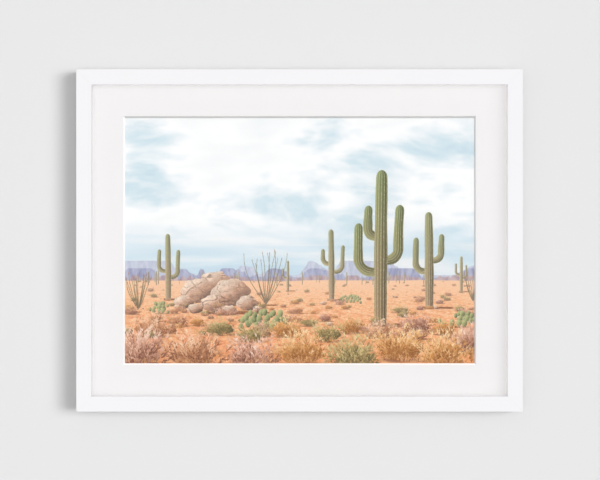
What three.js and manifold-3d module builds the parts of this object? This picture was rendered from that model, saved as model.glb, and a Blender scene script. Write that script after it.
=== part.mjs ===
// A framed print that hangs flat on a wall: a white square-section frame, clear glazing,
// a window mat with a bevelled window, an A3 print sheet, a foam filler and a back board
// that turn buttons hold in.
//
// Millimetres. X runs right and Z up as the picture hangs, and Y runs from the room into
// the wall. The origin is on the wall's face, where the wall's nail carries the hanger.
import * as THREE from "three";
import { mergeVertices } from "three/addons/utils/BufferGeometryUtils.js";
import Module from "manifold-3d";

// The gap that touching solids keep
const GAP = 0.3;

// Picture, as seen from the front: an A3 sheet behind the mat's window
const SHEET_W = 420;
const SHEET_H = 297;
const SHEET_LAP = 2.5;
const MAT_BORDER = 38;

// Frame moulding: a square section with a rabbet behind its front lip
const RAIL_FACE = 18;
const RAIL_DEPTH = 22;
const LIP_W = 6;
const FRONT_EDGE_R = 0.8;
const BACK_EDGE_CUT = 0.5;

// Layers in the rabbet, from the front, and their play inside the rails
const GLAZING_T = 2;
const MAT_T = 1.5;
const SHEET_T = 0.3;
const FILLER_T = 5;
const BACK_BOARD_T = 3;
const RABBET_PLAY = 1;

// Turn buttons and their pan-head screws
const BUTTON_REACH = 21;
const BUTTON_R = 5;
const BUTTON_T = 1.2;
const BUTTON_SCREW = { shankR: 1.4, headR: 3.1, headT: 1.5, bite: 9 };
const BUTTON_OFFSET_LONG_RAIL = 130;
const BUTTON_OFFSET_SHORT_RAIL = 95;

// Sawtooth hanger and its two nails. Its notches bear on the wall's nail.
const HANGER_L = 46;
const HANGER_H = 9;
const HANGER_T = 0.8;
const HANGER_FOOT_L = 8;
const HANGER_RAISE = 1.5;
const HANGER_TO_FRAME_TOP = 1.5;
const HANGER_NAIL = { shankR: 0.7, headR: 1.6, headT: 0.6, bite: 8 };
const NOTCH_COUNT = 7;
const NOTCH_PITCH = 3.4;
const NOTCH_H = 1.5;

// Bumpers that keep the frame's back parallel to the wall
const BUMPER_R = 4.5;
const BUMPER_TOP_R = 3.8;
const BUMPER_T = 3.7;
const BUMPER_TO_CORNER = 26;

// Facets of round pieces and of rounded edges
const ROUND_SIDES = 16;
const END_FACETS = 5;
const EDGE_FACETS = 2;

// Sizes that follow
const WINDOW_W = SHEET_W - 2 * SHEET_LAP;
const WINDOW_H = SHEET_H - 2 * SHEET_LAP;
const FRAME_W = WINDOW_W + 2 * (MAT_BORDER + RAIL_FACE);
const FRAME_H = WINDOW_H + 2 * (MAT_BORDER + RAIL_FACE);
const BACK_WALL_W = RAIL_FACE - LIP_W;
const LAYER_W = FRAME_W - 2 * (BACK_WALL_W + RABBET_PLAY);
const LAYER_H = FRAME_H - 2 * (BACK_WALL_W + RABBET_PLAY);
const LAYER_THICKNESSES = [GLAZING_T, MAT_T, SHEET_T, FILLER_T, BACK_BOARD_T];
const RABBET_DEPTH = LAYER_THICKNESSES.reduce((depth, thickness) => depth + thickness + GAP, 0);
const BACK_Y = -(BUMPER_T + GAP);
const FRAME_TOP_Z = HANGER_H - NOTCH_H + HANGER_TO_FRAME_TOP;
const FRAME_CENTRE_Z = FRAME_TOP_Z - FRAME_H / 2;
const NAIL_OFFSET = (HANGER_L - HANGER_FOOT_L) / 2;
const MITRE_TRIM = GAP / Math.SQRT2;

// The four sides, each a group turned about Y so that its local X points into the
// picture and its local Z runs along the rail. ends names the low and the high Z end.
const SIDES = [
  { name: "left", turn: 0, length: FRAME_H, across: FRAME_W, ends: ["lower", "upper"] },
  { name: "top", turn: Math.PI / 2, length: FRAME_W, across: FRAME_H, ends: ["left", "right"] },
  { name: "right", turn: Math.PI, length: FRAME_H, across: FRAME_W, ends: ["upper", "lower"] },
  { name: "bottom", turn: -Math.PI / 2, length: FRAME_W, across: FRAME_H, ends: ["right", "left"] },
];

const wasm = await Module();
wasm.setup();

const LACQUER = new THREE.MeshStandardMaterial({ color: 0xf4f4f6, roughness: 0.42 });
const GLASS = new THREE.MeshStandardMaterial({
  color: 0xf2f7f5,
  roughness: 0.03,
  transparent: true,
  opacity: 0.12,
});
const MAT_BOARD = new THREE.MeshStandardMaterial({ color: 0xf2f0f0, roughness: 0.95 });
const PRINT_PAPER = new THREE.MeshStandardMaterial({ color: 0xd7cabe, roughness: 0.8 });
const FOAM_BOARD = new THREE.MeshStandardMaterial({ color: 0xeeeeea, roughness: 0.9 });
const FIBREBOARD = new THREE.MeshStandardMaterial({ color: 0x9a7148, roughness: 0.8 });
const ZINC_STEEL = new THREE.MeshStandardMaterial({ color: 0xb4b6b8, roughness: 0.38, metalness: 1 });
const RUBBER = new THREE.MeshStandardMaterial({ color: 0x3a3a3c, roughness: 0.75 });

// The closed solid of a three.js geometry, with its shared vertices merged
function solidOf(geometry) {
  const bare = geometry.clone();
  bare.deleteAttribute("normal");
  bare.deleteAttribute("uv");
  const merged = mergeVertices(bare);
  const mesh = new wasm.Mesh({
    numProp: 3,
    vertProperties: merged.attributes.position.array,
    triVerts: new Uint32Array(merged.index.array),
  });
  return new wasm.Manifold(mesh);
}

// A flat-shaded three.js geometry of a solid
function geometryOf(solid) {
  const { vertProperties, triVerts } = solid.getMesh();
  const indexed = new THREE.BufferGeometry();
  indexed.setAttribute("position", new THREE.BufferAttribute(vertProperties, 3));
  indexed.setIndex(new THREE.BufferAttribute(triVerts, 1));
  const geometry = indexed.toNonIndexed();
  geometry.computeVertexNormals();
  return geometry;
}

function cutFrom(geometry, cutters) {
  const left = cutters.reduce((solid, cutter) => solid.subtract(solidOf(cutter)), solidOf(geometry));
  return geometryOf(left);
}

function addMesh(parent, name, geometry, material) {
  const mesh = new THREE.Mesh(geometry, material);
  mesh.name = name;
  parent.add(mesh);
  return mesh;
}

function rectangle(width, height) {
  const shape = new THREE.Shape();
  shape.moveTo(-width / 2, -height / 2);
  shape.lineTo(width / 2, -height / 2);
  shape.lineTo(width / 2, height / 2);
  shape.lineTo(-width / 2, height / 2);
  return shape;
}

// A round piece about Y from its profile of [radius, height] points, lowest first
function turned(profile) {
  const points = profile.map(([radius, height]) => new THREE.Vector2(radius, height));
  return new THREE.LatheGeometry(points, ROUND_SIDES);
}

// The rail's section: X from its outer face into the picture, Y from its back (0) forwards
function railSection() {
  const section = new THREE.Shape();
  const arcY = FRONT_EDGE_R - RAIL_DEPTH;
  section.moveTo(FRONT_EDGE_R, -RAIL_DEPTH);
  section.absarc(RAIL_FACE - FRONT_EDGE_R, arcY, FRONT_EDGE_R, -Math.PI / 2, 0);
  section.lineTo(RAIL_FACE, -RABBET_DEPTH);
  section.lineTo(BACK_WALL_W, -RABBET_DEPTH);
  section.lineTo(BACK_WALL_W, 0);
  section.lineTo(BACK_EDGE_CUT, 0);
  section.lineTo(0, -BACK_EDGE_CUT);
  section.absarc(FRONT_EDGE_R, arcY, FRONT_EDGE_R, Math.PI, 1.5 * Math.PI);
  return section;
}

// A hole in the rail's back for a screw or nail, at its offset from the rail's middle
function pilotHole(fastener, length, offset) {
  const depth = fastener.bite + 2 * GAP;
  const radius = fastener.shankR + GAP;
  const hole = new THREE.CylinderGeometry(radius, radius, 2 * depth, ROUND_SIDES);
  return hole.translate(BACK_WALL_W / 2, 0, length / 2 + offset);
}

// A rail along Z with 45-degree ends: each end vertex moves along the rail by its own
// distance from the outer face
function railGeometry(length, pilotHoles) {
  const geometry = new THREE.ExtrudeGeometry(railSection(), {
    depth: length,
    bevelEnabled: false,
    curveSegments: EDGE_FACETS,
  });
  const position = geometry.attributes.position;
  for (let i = 0; i < position.count; i += 1) {
    const inset = position.getX(i) + MITRE_TRIM;
    position.setZ(i, position.getZ(i) === 0 ? inset : length - inset);
  }
  return pilotHoles.length ? cutFrom(geometry, pilotHoles) : geometry;
}

// A whole board of the rabbet's width and height
function boardGeometry(thickness) {
  return new THREE.BoxGeometry(LAYER_W, thickness, LAYER_H);
}

// The window mat: its window is cut at 45 degrees, wider at the front
function matGeometry(thickness) {
  const outline = rectangle(LAYER_W, LAYER_H);
  outline.holes.push(rectangle(WINDOW_W, WINDOW_H));
  const geometry = new THREE.ExtrudeGeometry(outline, { depth: thickness, bevelEnabled: false });
  const position = geometry.attributes.position;
  for (let i = 0; i < position.count; i += 1) {
    const x = position.getX(i);
    const y = position.getY(i);
    const atWindow = Math.abs(x) <= WINDOW_W / 2 && Math.abs(y) <= WINDOW_H / 2;
    if (atWindow && position.getZ(i) > 0) {
      position.setX(i, x + Math.sign(x) * thickness);
      position.setY(i, y + Math.sign(y) * thickness);
    }
  }
  return geometry.rotateX(Math.PI / 2).translate(0, thickness / 2, 0);
}

function sheetGeometry(thickness) {
  return new THREE.BoxGeometry(SHEET_W, thickness, SHEET_H);
}

const LAYERS = [
  { name: "glazing", thickness: GLAZING_T, shape: boardGeometry, material: GLASS },
  { name: "window_mat", thickness: MAT_T, shape: matGeometry, material: MAT_BOARD },
  { name: "print_sheet", thickness: SHEET_T, shape: sheetGeometry, material: PRINT_PAPER },
  { name: "foam_filler", thickness: FILLER_T, shape: boardGeometry, material: FOAM_BOARD },
  { name: "back_board", thickness: BACK_BOARD_T, shape: boardGeometry, material: FIBREBOARD },
];

// The layers lie one behind another, from the lip's back to the rails' back
function addLayers(parent) {
  let frontY = BACK_Y - RABBET_DEPTH + GAP;
  for (const { name, thickness, shape, material } of LAYERS) {
    const mesh = addMesh(parent, name, shape(thickness), material);
    mesh.position.set(0, frontY + thickness / 2, FRAME_CENTRE_Z);
    frontY += thickness + GAP;
  }
}

// A flat steel bar with round ends that turns about the hole in one of them
function buttonGeometry() {
  const outline = new THREE.Shape();
  outline.absarc(0, 0, BUTTON_R, Math.PI / 2, 1.5 * Math.PI);
  outline.absarc(BUTTON_REACH - BUTTON_R, 0, BUTTON_R, -Math.PI / 2, Math.PI / 2);
  const hole = new THREE.Path();
  hole.absarc(0, 0, BUTTON_SCREW.shankR + GAP, 0, 2 * Math.PI);
  outline.holes.push(hole);
  const geometry = new THREE.ExtrudeGeometry(outline, {
    depth: BUTTON_T,
    bevelEnabled: false,
    curveSegments: END_FACETS,
  });
  return geometry.rotateX(Math.PI / 2).translate(0, BUTTON_T, 0);
}

// A screw or nail with its point forwards and its head's underside at Y 0. held is what
// it passes through before it reaches the rail.
function fastenerGeometry({ shankR, headR, headT, bite }, held) {
  const length = bite + held + 2 * GAP;
  return turned([
    [0, -length],
    [shankR, -length + 2 * shankR],
    [shankR, 0],
    [headR, 0],
    [headR, headT / 2],
    [headR / 2, headT],
    [0, headT],
  ]);
}

function bumperGeometry() {
  return turned([
    [0, 0],
    [BUMPER_R, 0],
    [BUMPER_R, BUMPER_T / 2],
    [BUMPER_TOP_R, BUMPER_T],
    [0, BUMPER_T],
  ]);
}

// The hanger's strip seen from below: two flat feet and a middle raised off the rail
function hangerStrip() {
  const footX = HANGER_L / 2 - HANGER_FOOT_L;
  const middleX = footX - HANGER_RAISE;
  const bend = HANGER_T * Math.tan(Math.PI / 8);
  const strip = new THREE.Shape();
  strip.moveTo(-HANGER_L / 2, 0);
  strip.lineTo(-footX, 0);
  strip.lineTo(-middleX, HANGER_RAISE);
  strip.lineTo(middleX, HANGER_RAISE);
  strip.lineTo(footX, 0);
  strip.lineTo(HANGER_L / 2, 0);
  strip.lineTo(HANGER_L / 2, HANGER_T);
  strip.lineTo(footX + bend, HANGER_T);
  strip.lineTo(middleX + bend, HANGER_RAISE + HANGER_T);
  strip.lineTo(-middleX - bend, HANGER_RAISE + HANGER_T);
  strip.lineTo(-footX - bend, HANGER_T);
  strip.lineTo(-HANGER_L / 2, HANGER_T);
  return strip;
}

// A prism that cuts one V notch, point up, through the hanger's lower edge
function notchCutter(x) {
  const reach = 2 * (HANGER_RAISE + HANGER_T);
  const notch = new THREE.Shape();
  notch.moveTo(x - NOTCH_PITCH / 2, -NOTCH_H - GAP);
  notch.lineTo(x + NOTCH_PITCH / 2, -NOTCH_H - GAP);
  notch.lineTo(x, 0);
  const prism = new THREE.ExtrudeGeometry(notch, { depth: 2 * reach, bevelEnabled: false });
  return prism.rotateX(Math.PI / 2).translate(0, reach, 0);
}

function nailHole(x) {
  const radius = HANGER_NAIL.shankR + GAP;
  const hole = new THREE.CylinderGeometry(radius, radius, 4 * HANGER_T, ROUND_SIDES);
  return hole.translate(x, 0, FRAME_TOP_Z - BACK_WALL_W / 2);
}

function hangerGeometry() {
  const strip = new THREE.ExtrudeGeometry(hangerStrip(), { depth: HANGER_H, bevelEnabled: false });
  strip.translate(0, 0, -NOTCH_H);
  const cutters = [nailHole(-NAIL_OFFSET), nailHole(NAIL_OFFSET)];
  for (let i = 0; i < NOTCH_COUNT; i += 1) {
    cutters.push(notchCutter((i - (NOTCH_COUNT - 1) / 2) * NOTCH_PITCH));
  }
  return cutFrom(strip, cutters);
}

function addHanger(parent) {
  addMesh(parent, "sawtooth_hanger", hangerGeometry(), ZINC_STEEL).position.y = BACK_Y + GAP;
  for (const [end, x] of [["left", -NAIL_OFFSET], ["right", NAIL_OFFSET]]) {
    const nail = addMesh(parent, `hanger_nail_${end}`, fastenerGeometry(HANGER_NAIL, HANGER_T), ZINC_STEEL);
    nail.position.set(x, BACK_Y + HANGER_T + 2 * GAP, FRAME_TOP_Z - BACK_WALL_W / 2);
  }
}

// One side of the frame: its rail, with the turn buttons, screws and bumpers on its back
function addSide(parent, { name, turn, length, across, ends }) {
  const side = new THREE.Group();
  side.position.set(0, BACK_Y, FRAME_CENTRE_Z);
  side.rotation.y = turn;
  parent.add(side);

  const isLong = length > across;
  const buttonOffset = isLong ? BUTTON_OFFSET_LONG_RAIL : BUTTON_OFFSET_SHORT_RAIL;
  const offsets = [-buttonOffset, buttonOffset];
  const pilotHoles = offsets.map((offset) => pilotHole(BUTTON_SCREW, length, offset));
  if (name === "top") {
    pilotHoles.push(pilotHole(HANGER_NAIL, length, -NAIL_OFFSET));
    pilotHoles.push(pilotHole(HANGER_NAIL, length, NAIL_OFFSET));
  }
  const rail = addMesh(side, `rail_${name}`, railGeometry(length, pilotHoles), LACQUER);
  rail.position.set(-across / 2, 0, -length / 2);

  const pivotX = -across / 2 + BACK_WALL_W / 2;
  offsets.forEach((offset, i) => {
    const button = addMesh(side, `turn_button_${name}_${ends[i]}`, buttonGeometry(), ZINC_STEEL);
    button.position.set(pivotX, GAP, offset);
    const screw = addMesh(
      side,
      `button_screw_${name}_${ends[i]}`,
      fastenerGeometry(BUTTON_SCREW, BUTTON_T),
      ZINC_STEEL,
    );
    screw.position.set(pivotX, BUTTON_T + 2 * GAP, offset);
    if (isLong) {
      const bumper = addMesh(side, `bumper_${name}_${ends[i]}`, bumperGeometry(), RUBBER);
      bumper.position.set(pivotX, GAP, Math.sign(offset) * (length / 2 - BUMPER_TO_CORNER));
    }
  });
}

const framedPrint = new THREE.Group();
for (const side of SIDES) {
  addSide(framedPrint, side);
}
addLayers(framedPrint);
addHanger(framedPrint);

export default framedPrint;
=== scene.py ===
"""Framed print on a wall: the looks of a white wooden frame, its mat, print, glazing and back.

Every piece is in metres in the frame's own axes: X to the picture's right, Z up, and Y from
the room into the wall, whose face is at Y 0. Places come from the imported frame.
"""

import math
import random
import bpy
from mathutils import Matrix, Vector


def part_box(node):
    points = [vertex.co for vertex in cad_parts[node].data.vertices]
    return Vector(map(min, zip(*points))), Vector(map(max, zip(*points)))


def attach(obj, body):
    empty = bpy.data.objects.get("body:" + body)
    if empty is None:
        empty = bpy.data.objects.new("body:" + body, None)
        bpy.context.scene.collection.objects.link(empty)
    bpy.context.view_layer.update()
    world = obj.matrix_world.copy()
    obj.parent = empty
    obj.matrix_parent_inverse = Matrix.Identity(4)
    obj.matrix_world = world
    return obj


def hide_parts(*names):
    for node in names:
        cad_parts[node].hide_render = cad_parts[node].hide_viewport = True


bl_info = {
    "name": "Framed Print",
    "version": (1, 0, 0),
    "blender": (4, 5, 0),
    "location": "View3D > Sidebar > Framed Print",
    "description": "Dresses a framed print: sprayed rails, bevelled mat, print, glass and hardware",
    "category": "Add Mesh",
}

import bmesh
import bpy
from mathutils import Vector

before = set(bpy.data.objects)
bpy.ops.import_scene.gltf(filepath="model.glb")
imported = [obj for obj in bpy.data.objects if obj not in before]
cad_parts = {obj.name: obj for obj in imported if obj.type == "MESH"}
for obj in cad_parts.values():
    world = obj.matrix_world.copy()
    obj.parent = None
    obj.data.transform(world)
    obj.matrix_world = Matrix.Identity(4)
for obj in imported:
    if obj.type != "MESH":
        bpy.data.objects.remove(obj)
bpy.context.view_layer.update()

MM = 0.001
BODY = "frame"

# Less than any real gap or thickness
HAIR = 0.001 * MM

# The picture's horizon, above its lower edge
HORIZON_MM = 98

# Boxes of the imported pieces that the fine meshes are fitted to
LEFT_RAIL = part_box("rail_left")
TOP_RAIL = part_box("rail_top")
BOTTOM_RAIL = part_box("rail_bottom")
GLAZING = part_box("glazing")
WINDOW_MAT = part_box("window_mat")
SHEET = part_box("print_sheet")

# Outside of the frame, and its moulding's section. Touching solids keep GAP.
GAP = 0.3 * MM
RABBET_PLAY = 1.0 * MM
FRAME_LEFT = LEFT_RAIL[0].x
FRAME_RIGHT = -LEFT_RAIL[0].x
FRAME_TOP = TOP_RAIL[1].z
FRAME_BOTTOM = BOTTOM_RAIL[0].z
FRAME_W = FRAME_RIGHT - FRAME_LEFT
FRAME_H = FRAME_TOP - FRAME_BOTTOM
FRAME_MIDDLE_Z = (FRAME_TOP + FRAME_BOTTOM) / 2
FRONT_Y = LEFT_RAIL[0].y
BACK_Y = LEFT_RAIL[1].y
LIP_BACK_Y = GLAZING[0].y - GAP
RAIL_FACE = LEFT_RAIL[1].x - FRAME_LEFT
RAIL_BACK_W = GLAZING[0].x - FRAME_LEFT - RABBET_PLAY
BACK_EDGE_CUT = 0.5 * MM

# The print's sheet, which the mat's window laps by SHEET_LAP a side
SHEET_LAP = 2.5 * MM
SHEET_W = SHEET[1].x - SHEET[0].x
SHEET_H = SHEET[1].z - SHEET[0].z
WINDOW_HALF_W = SHEET_W / 2 - SHEET_LAP
WINDOW_HALF_H = SHEET_H / 2 - SHEET_LAP
PICTURE_BOTTOM = SHEET[0].z + SHEET_LAP

# The photograph: its size, the width of the frame in it and the frame's centre, in pixels
PHOTO_W_PX = 600
PHOTO_H_PX = 480
FRAME_W_PX = 447.1
FRAME_CENTRE_PX = (299.65, 240.4)

# A mix node's sockets for two colours, and the settings that make it a mix of colours
MIX_A = 6
MIX_B = 7
MIX_RESULT = 2
COLOUR_MIX = {"output": MIX_RESULT, "data_type": "RGBA"}


def linear(hex_colour):
    """An sRGB hex colour as the linear red, green, blue and alpha that shaders take."""
    channels = [int(hex_colour[i : i + 2], 16) / 255 for i in (1, 3, 5)]
    return (*[c / 12.92 if c <= 0.04045 else ((c + 0.055) / 1.055) ** 2.4 for c in channels], 1.0)


def paint(colour):
    """A colour property with the alpha that shaders want."""
    return (*colour, 1.0)


def per_mm(size):
    """The scale at which a texture on coordinates in metres has features this many mm wide."""
    return 1 / (size * MM)


def add(tree, kind, inputs=None, output=0, stops=None, **settings):
    """Adds a node, sets it, fills or links its inputs and returns one of its outputs."""
    node = tree.nodes.new("ShaderNode" + kind)
    for name, value in settings.items():
        setattr(node, name, value)
    for key, value in (inputs or {}).items():
        if isinstance(value, bpy.types.NodeSocket):
            tree.links.new(value, node.inputs[key])
        else:
            node.inputs[key].default_value = value
    for place, colour in stops or ():
        first = place == stops[0][0]
        element = node.color_ramp.elements[0] if first else node.color_ramp.elements.new(place)
        element.position = place
        element.color = linear(colour)
    if stops:
        node.color_ramp.elements.remove(node.color_ramp.elements[-1])
    return node.outputs[output] if node.outputs else None


def new_material(name):
    """A material with an empty node tree, and that tree."""
    material = bpy.data.materials.new(name)
    material.use_nodes = True
    material.node_tree.nodes.clear()
    return material, material.node_tree


def new_mesh(name, mesh, materials):
    """A bmesh as a mesh with these materials."""
    data = bpy.data.meshes.new(name)
    mesh.to_mesh(data)
    mesh.free()
    for material in materials:
        data.materials.append(material)
    return data


def new_object(name, data):
    """An object of a mesh, a light or a camera, in the scene."""
    thing = bpy.data.objects.new(name, data)
    bpy.context.scene.collection.objects.link(thing)
    return thing


def shade_smooth(data, bend):
    """Shades a mesh smooth. Edges that bend by more than this many degrees stay sharp."""
    data.shade_smooth()
    data.set_sharp_from_angle(angle=math.radians(bend))


def make_piece(name, mesh, materials, smooth_below=None):
    """A new object of a bmesh. Edges that bend by more than smooth_below degrees stay sharp."""
    bmesh.ops.recalc_face_normals(mesh, faces=mesh.faces)
    data = new_mesh(name, mesh, materials)
    if smooth_below:
        shade_smooth(data, smooth_below)
    return new_object(name, data)


def turn_to_room(mesh):
    """Turns each face of a flat mesh to the front."""
    for face in mesh.faces:
        face.normal_update()
        if face.normal.y > 0:
            face.normal_flip()


def light_group(name):
    """The collection of pieces that some of the stage's lights are kept to."""
    return bpy.data.collections.get(name) or bpy.data.collections.new(name)


def seat(piece, slot, *nodes, body=BODY):
    """Lets a piece ride on its body, hides the solids it stands for, and keeps it with the paper's or the
    woodwork's lights by its finish.
    """
    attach(piece, body)
    if nodes:
        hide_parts(*nodes)
    paper = slot in ("mat_board", "print_paper")
    light_group("paper_layers" if paper else "rails_and_back").objects.link(piece)


def dress_solid(name, material, ease=0, bend=30):
    """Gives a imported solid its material, and eases the edges that bend by more than bend degrees."""
    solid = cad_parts[name]
    solid.data.materials.clear()
    solid.data.materials.append(material)
    light_group("rails_and_back").objects.link(solid)
    if ease:
        eased = solid.modifiers.new("eased_edges", "BEVEL")
        eased.width = ease
        eased.segments = 2
        eased.limit_method = "ANGLE"
        eased.angle_limit = math.radians(bend)


def ring_at(mesh, places, y):
    """A ring of vertices at one Y, from their places as (X, Z)."""
    return [mesh.verts.new((x, y, z)) for x, z in places]


def rectangle_ring(mesh, half_w, half_h, y):
    """The four corners of an upright rectangle about the frame's middle."""
    corners = ((-1, -1), (1, -1), (1, 1), (-1, 1))
    return ring_at(mesh, [(sx * half_w, FRAME_MIDDLE_Z + sz * half_h) for sx, sz in corners], y)


def bridge(mesh, rings, material=0, closed=True):
    """Faces between each ring of vertices and the next. A closed ring joins its two ends."""
    faces = []
    for near, far in zip(rings, rings[1:]):
        count = len(near)
        for i in range(count if closed else count - 1):
            j = (i + 1) % count
            # At a tip, where a ring is one vertex over and over, the face is a triangle
            corners = dict.fromkeys((near[i], near[j], far[j], far[i]))
            face = mesh.faces.new(list(corners))
            face.material_index = material
            faces.append(face)
    return faces


def arc(centre, radius, start, end, steps):
    """Points on an arc in the plane, with angles in degrees."""
    turns = [math.radians(start + (end - start) * i / steps) for i in range(steps + 1)]
    return [(centre[0] + radius * math.cos(t), centre[1] + radius * math.sin(t)) for t in turns]


def turned(profile, centre, sides=40):
    """A round body about a line along Y, from its profile of (radius, Y) points."""
    mesh = bmesh.new()
    turns = [2 * math.pi * i / sides for i in range(sides)]
    rings = []
    for radius, y in profile:
        if radius == 0:
            rings.append(ring_at(mesh, [centre], y) * sides)
            continue
        around = [(centre[0] + radius * math.cos(t), centre[1] + radius * math.sin(t)) for t in turns]
        rings.append(ring_at(mesh, around, y))
    bridge(mesh, rings)
    return mesh


def round_solid(name):
    """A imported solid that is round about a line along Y: its line, its radius, and both its ends."""
    low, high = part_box(name)
    centre = ((low.x + high.x) / 2, (low.z + high.z) / 2)
    return centre, (high.x - low.x) / 2, low.y, high.y


# Materials


def sprayed_lacquer(woodwork):
    """Satin lacquer, sprayed on sanded wood: an even soft sheen over a faint orange peel."""
    material, tree = new_material("sprayed_satin_lacquer")
    place = add(tree, "TexCoord", output="Object")
    # Real orange peel is about 1 mm across, and is drawn coarser so that it shows
    peel = add(tree, "TexNoise", {"Vector": place, "Scale": per_mm(2.5), "Detail": 2.0})
    drift = add(tree, "TexNoise", {"Vector": place, "Scale": per_mm(70), "Detail": 3.0})
    tone = add(tree, "MapRange", {"Value": drift, "To Min": 0.985, "To Max": 1.01})
    colour = add(tree, "HueSaturation", {"Value": tone, "Color": paint(woodwork.lacquer_colour)})
    sheen = add(tree, "MapRange", {"Value": drift, "To Min": 0.36, "To Max": 0.48})
    relief = add(tree, "Bump", {"Height": peel, "Strength": 0.12, "Distance": 0.05 * MM})
    finish = {"Base Color": colour, "Roughness": sheen, "Normal": relief, "IOR": 1.5}
    add(tree, "OutputMaterial", {"Surface": add(tree, "BsdfPrincipled", finish)})
    return material


def bare_poplar(woodwork):
    """Planed, unfinished poplar: straight pale grain, with white overspray along its edges."""
    material, tree = new_material("planed_bare_poplar")
    grain_map = add(tree, "UVMap", uv_map="grain")
    # Growth rings show as streaks of about 1.6 mm that run 90 mm along the rail
    stretched = add(tree, "Mapping", {"Vector": grain_map, "Scale": (per_mm(90), per_mm(1.6), 1)})
    rings = add(tree, "TexNoise", {"Vector": stretched, "Scale": 1.0, "Detail": 5.0, "Distortion": 0.4})
    # Pores are dark dashes of 0.35 by 4 mm
    dashes = add(tree, "Mapping", {"Vector": grain_map, "Scale": (per_mm(4), per_mm(0.35), 1)})
    pores = add(tree, "TexNoise", {"Vector": dashes, "Scale": 1.0, "Detail": 2.0})
    wood_tones = ((0.3, "#b98f5c"), (0.45, "#cfa873"), (0.58, "#dcbb88"), (0.75, "#e6cb9d"))
    streaks = add(tree, "ValToRGB", {"Fac": rings}, stops=wood_tones)
    pore_share = add(tree, "MapRange", {"Value": pores, "From Min": 0.56, "From Max": 0.72})
    wood = add(tree, "Mix", {0: pore_share, MIX_A: streaks, MIX_B: linear("#a67d4e")}, **COLOUR_MIX)
    # Overspray fades out about 2 mm in from the outer face, nearer here and further there
    across = add(tree, "Attribute", output="Fac", attribute_name="from_outer_face")
    place = add(tree, "TexCoord", output="Object")
    mist = add(tree, "TexNoise", {"Vector": place, "Scale": per_mm(16), "Detail": 3.0})
    reach = add(tree, "Math", {0: mist, 1: 3.2 * MM}, operation="MULTIPLY")
    edge = add(tree, "Math", {0: across, 1: reach}, operation="SUBTRACT")
    fading = {"Value": edge, "From Min": -2.4 * MM, "From Max": 0.5 * MM, "To Min": 1.0, "To Max": 0.0}
    overspray = add(tree, "MapRange", fading, interpolation_type="SMOOTHSTEP")
    lacquer = paint(woodwork.lacquer_colour)
    colour = add(tree, "Mix", {0: overspray, MIX_A: wood, MIX_B: lacquer}, **COLOUR_MIX)
    relief = add(tree, "Bump", {"Height": pores, "Strength": 0.35, "Distance": 0.08 * MM})
    finish = {"Base Color": colour, "Roughness": 0.72, "Normal": relief, "IOR": 1.5}
    add(tree, "OutputMaterial", {"Surface": add(tree, "BsdfPrincipled", finish)})
    return material


def float_glass():
    """Clear float glass, polished on both faces: it shows only by what it mirrors.

    Each face mirrors 4% straight on and more at a slant, and 2 mm bend the view too little
    to show, so the rest passes straight through.
    """
    material, tree = new_material("clear_float_glass")
    slant = add(tree, "LayerWeight", {"Blend": 0.5}, "Facing")
    grazing = add(tree, "Math", {0: slant, 1: 5.0}, operation="POWER")
    mirror_share = add(tree, "Math", {0: grazing, 1: 0.96, 2: 0.04}, operation="MULTIPLY_ADD")
    through = add(tree, "BsdfTransparent", {"Color": linear("#fefefe")})
    polish = {"Base Color": linear("#ffffff"), "Metallic": 1.0, "Roughness": 0.02}
    mirror = add(tree, "BsdfPrincipled", polish)
    surface = add(tree, "MixShader", {0: mirror_share, 1: through, 2: mirror})
    add(tree, "OutputMaterial", {"Surface": surface})
    return material


def mat_facing(paper):
    """Uncoated facing paper of a mat board: matt, with the fine tooth of cotton fibres."""
    material, tree = new_material("uncoated_mat_facing")
    place = add(tree, "TexCoord", output="Object")
    # The tooth is about 0.4 mm, drawn at 0.9 mm so that it shows
    tooth = add(tree, "TexNoise", {"Vector": place, "Scale": per_mm(0.9), "Detail": 4.0, "Roughness": 0.7})
    cloudy = add(tree, "TexNoise", {"Vector": place, "Scale": per_mm(12), "Detail": 3.0})
    tone = add(tree, "MapRange", {"Value": cloudy, "To Min": 0.99, "To Max": 1.008})
    colour = add(tree, "HueSaturation", {"Value": tone, "Color": paint(paper.mat_colour)})
    relief = add(tree, "Bump", {"Height": tooth, "Strength": 0.22, "Distance": 0.06 * MM})
    finish = {"Base Color": colour, "Roughness": 0.92, "Specular IOR Level": 0.2, "Normal": relief}
    add(tree, "OutputMaterial", {"Surface": add(tree, "BsdfPrincipled", finish)})
    return material


def mat_core(paper):
    """Knife-cut core of a mat board: brighter than its facing, with a slightly fuzzy cut."""
    material, tree = new_material("cut_white_core")
    place = add(tree, "TexCoord", output="Object")
    # Torn fibres are about 0.25 mm thick, drawn at 0.5 mm so that they show
    fuzz = add(tree, "TexNoise", {"Vector": place, "Scale": per_mm(0.5), "Detail": 5.0, "Roughness": 0.75})
    tone = add(tree, "MapRange", {"Value": fuzz, "To Min": 0.97, "To Max": 1.02})
    colour = add(tree, "HueSaturation", {"Value": tone, "Color": paint(paper.core_colour)})
    relief = add(tree, "Bump", {"Height": fuzz, "Strength": 0.3, "Distance": 0.08 * MM})
    finish = {"Base Color": colour, "Roughness": 0.95, "Specular IOR Level": 0.15, "Normal": relief}
    add(tree, "OutputMaterial", {"Surface": add(tree, "BsdfPrincipled", finish)})
    return material


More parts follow.
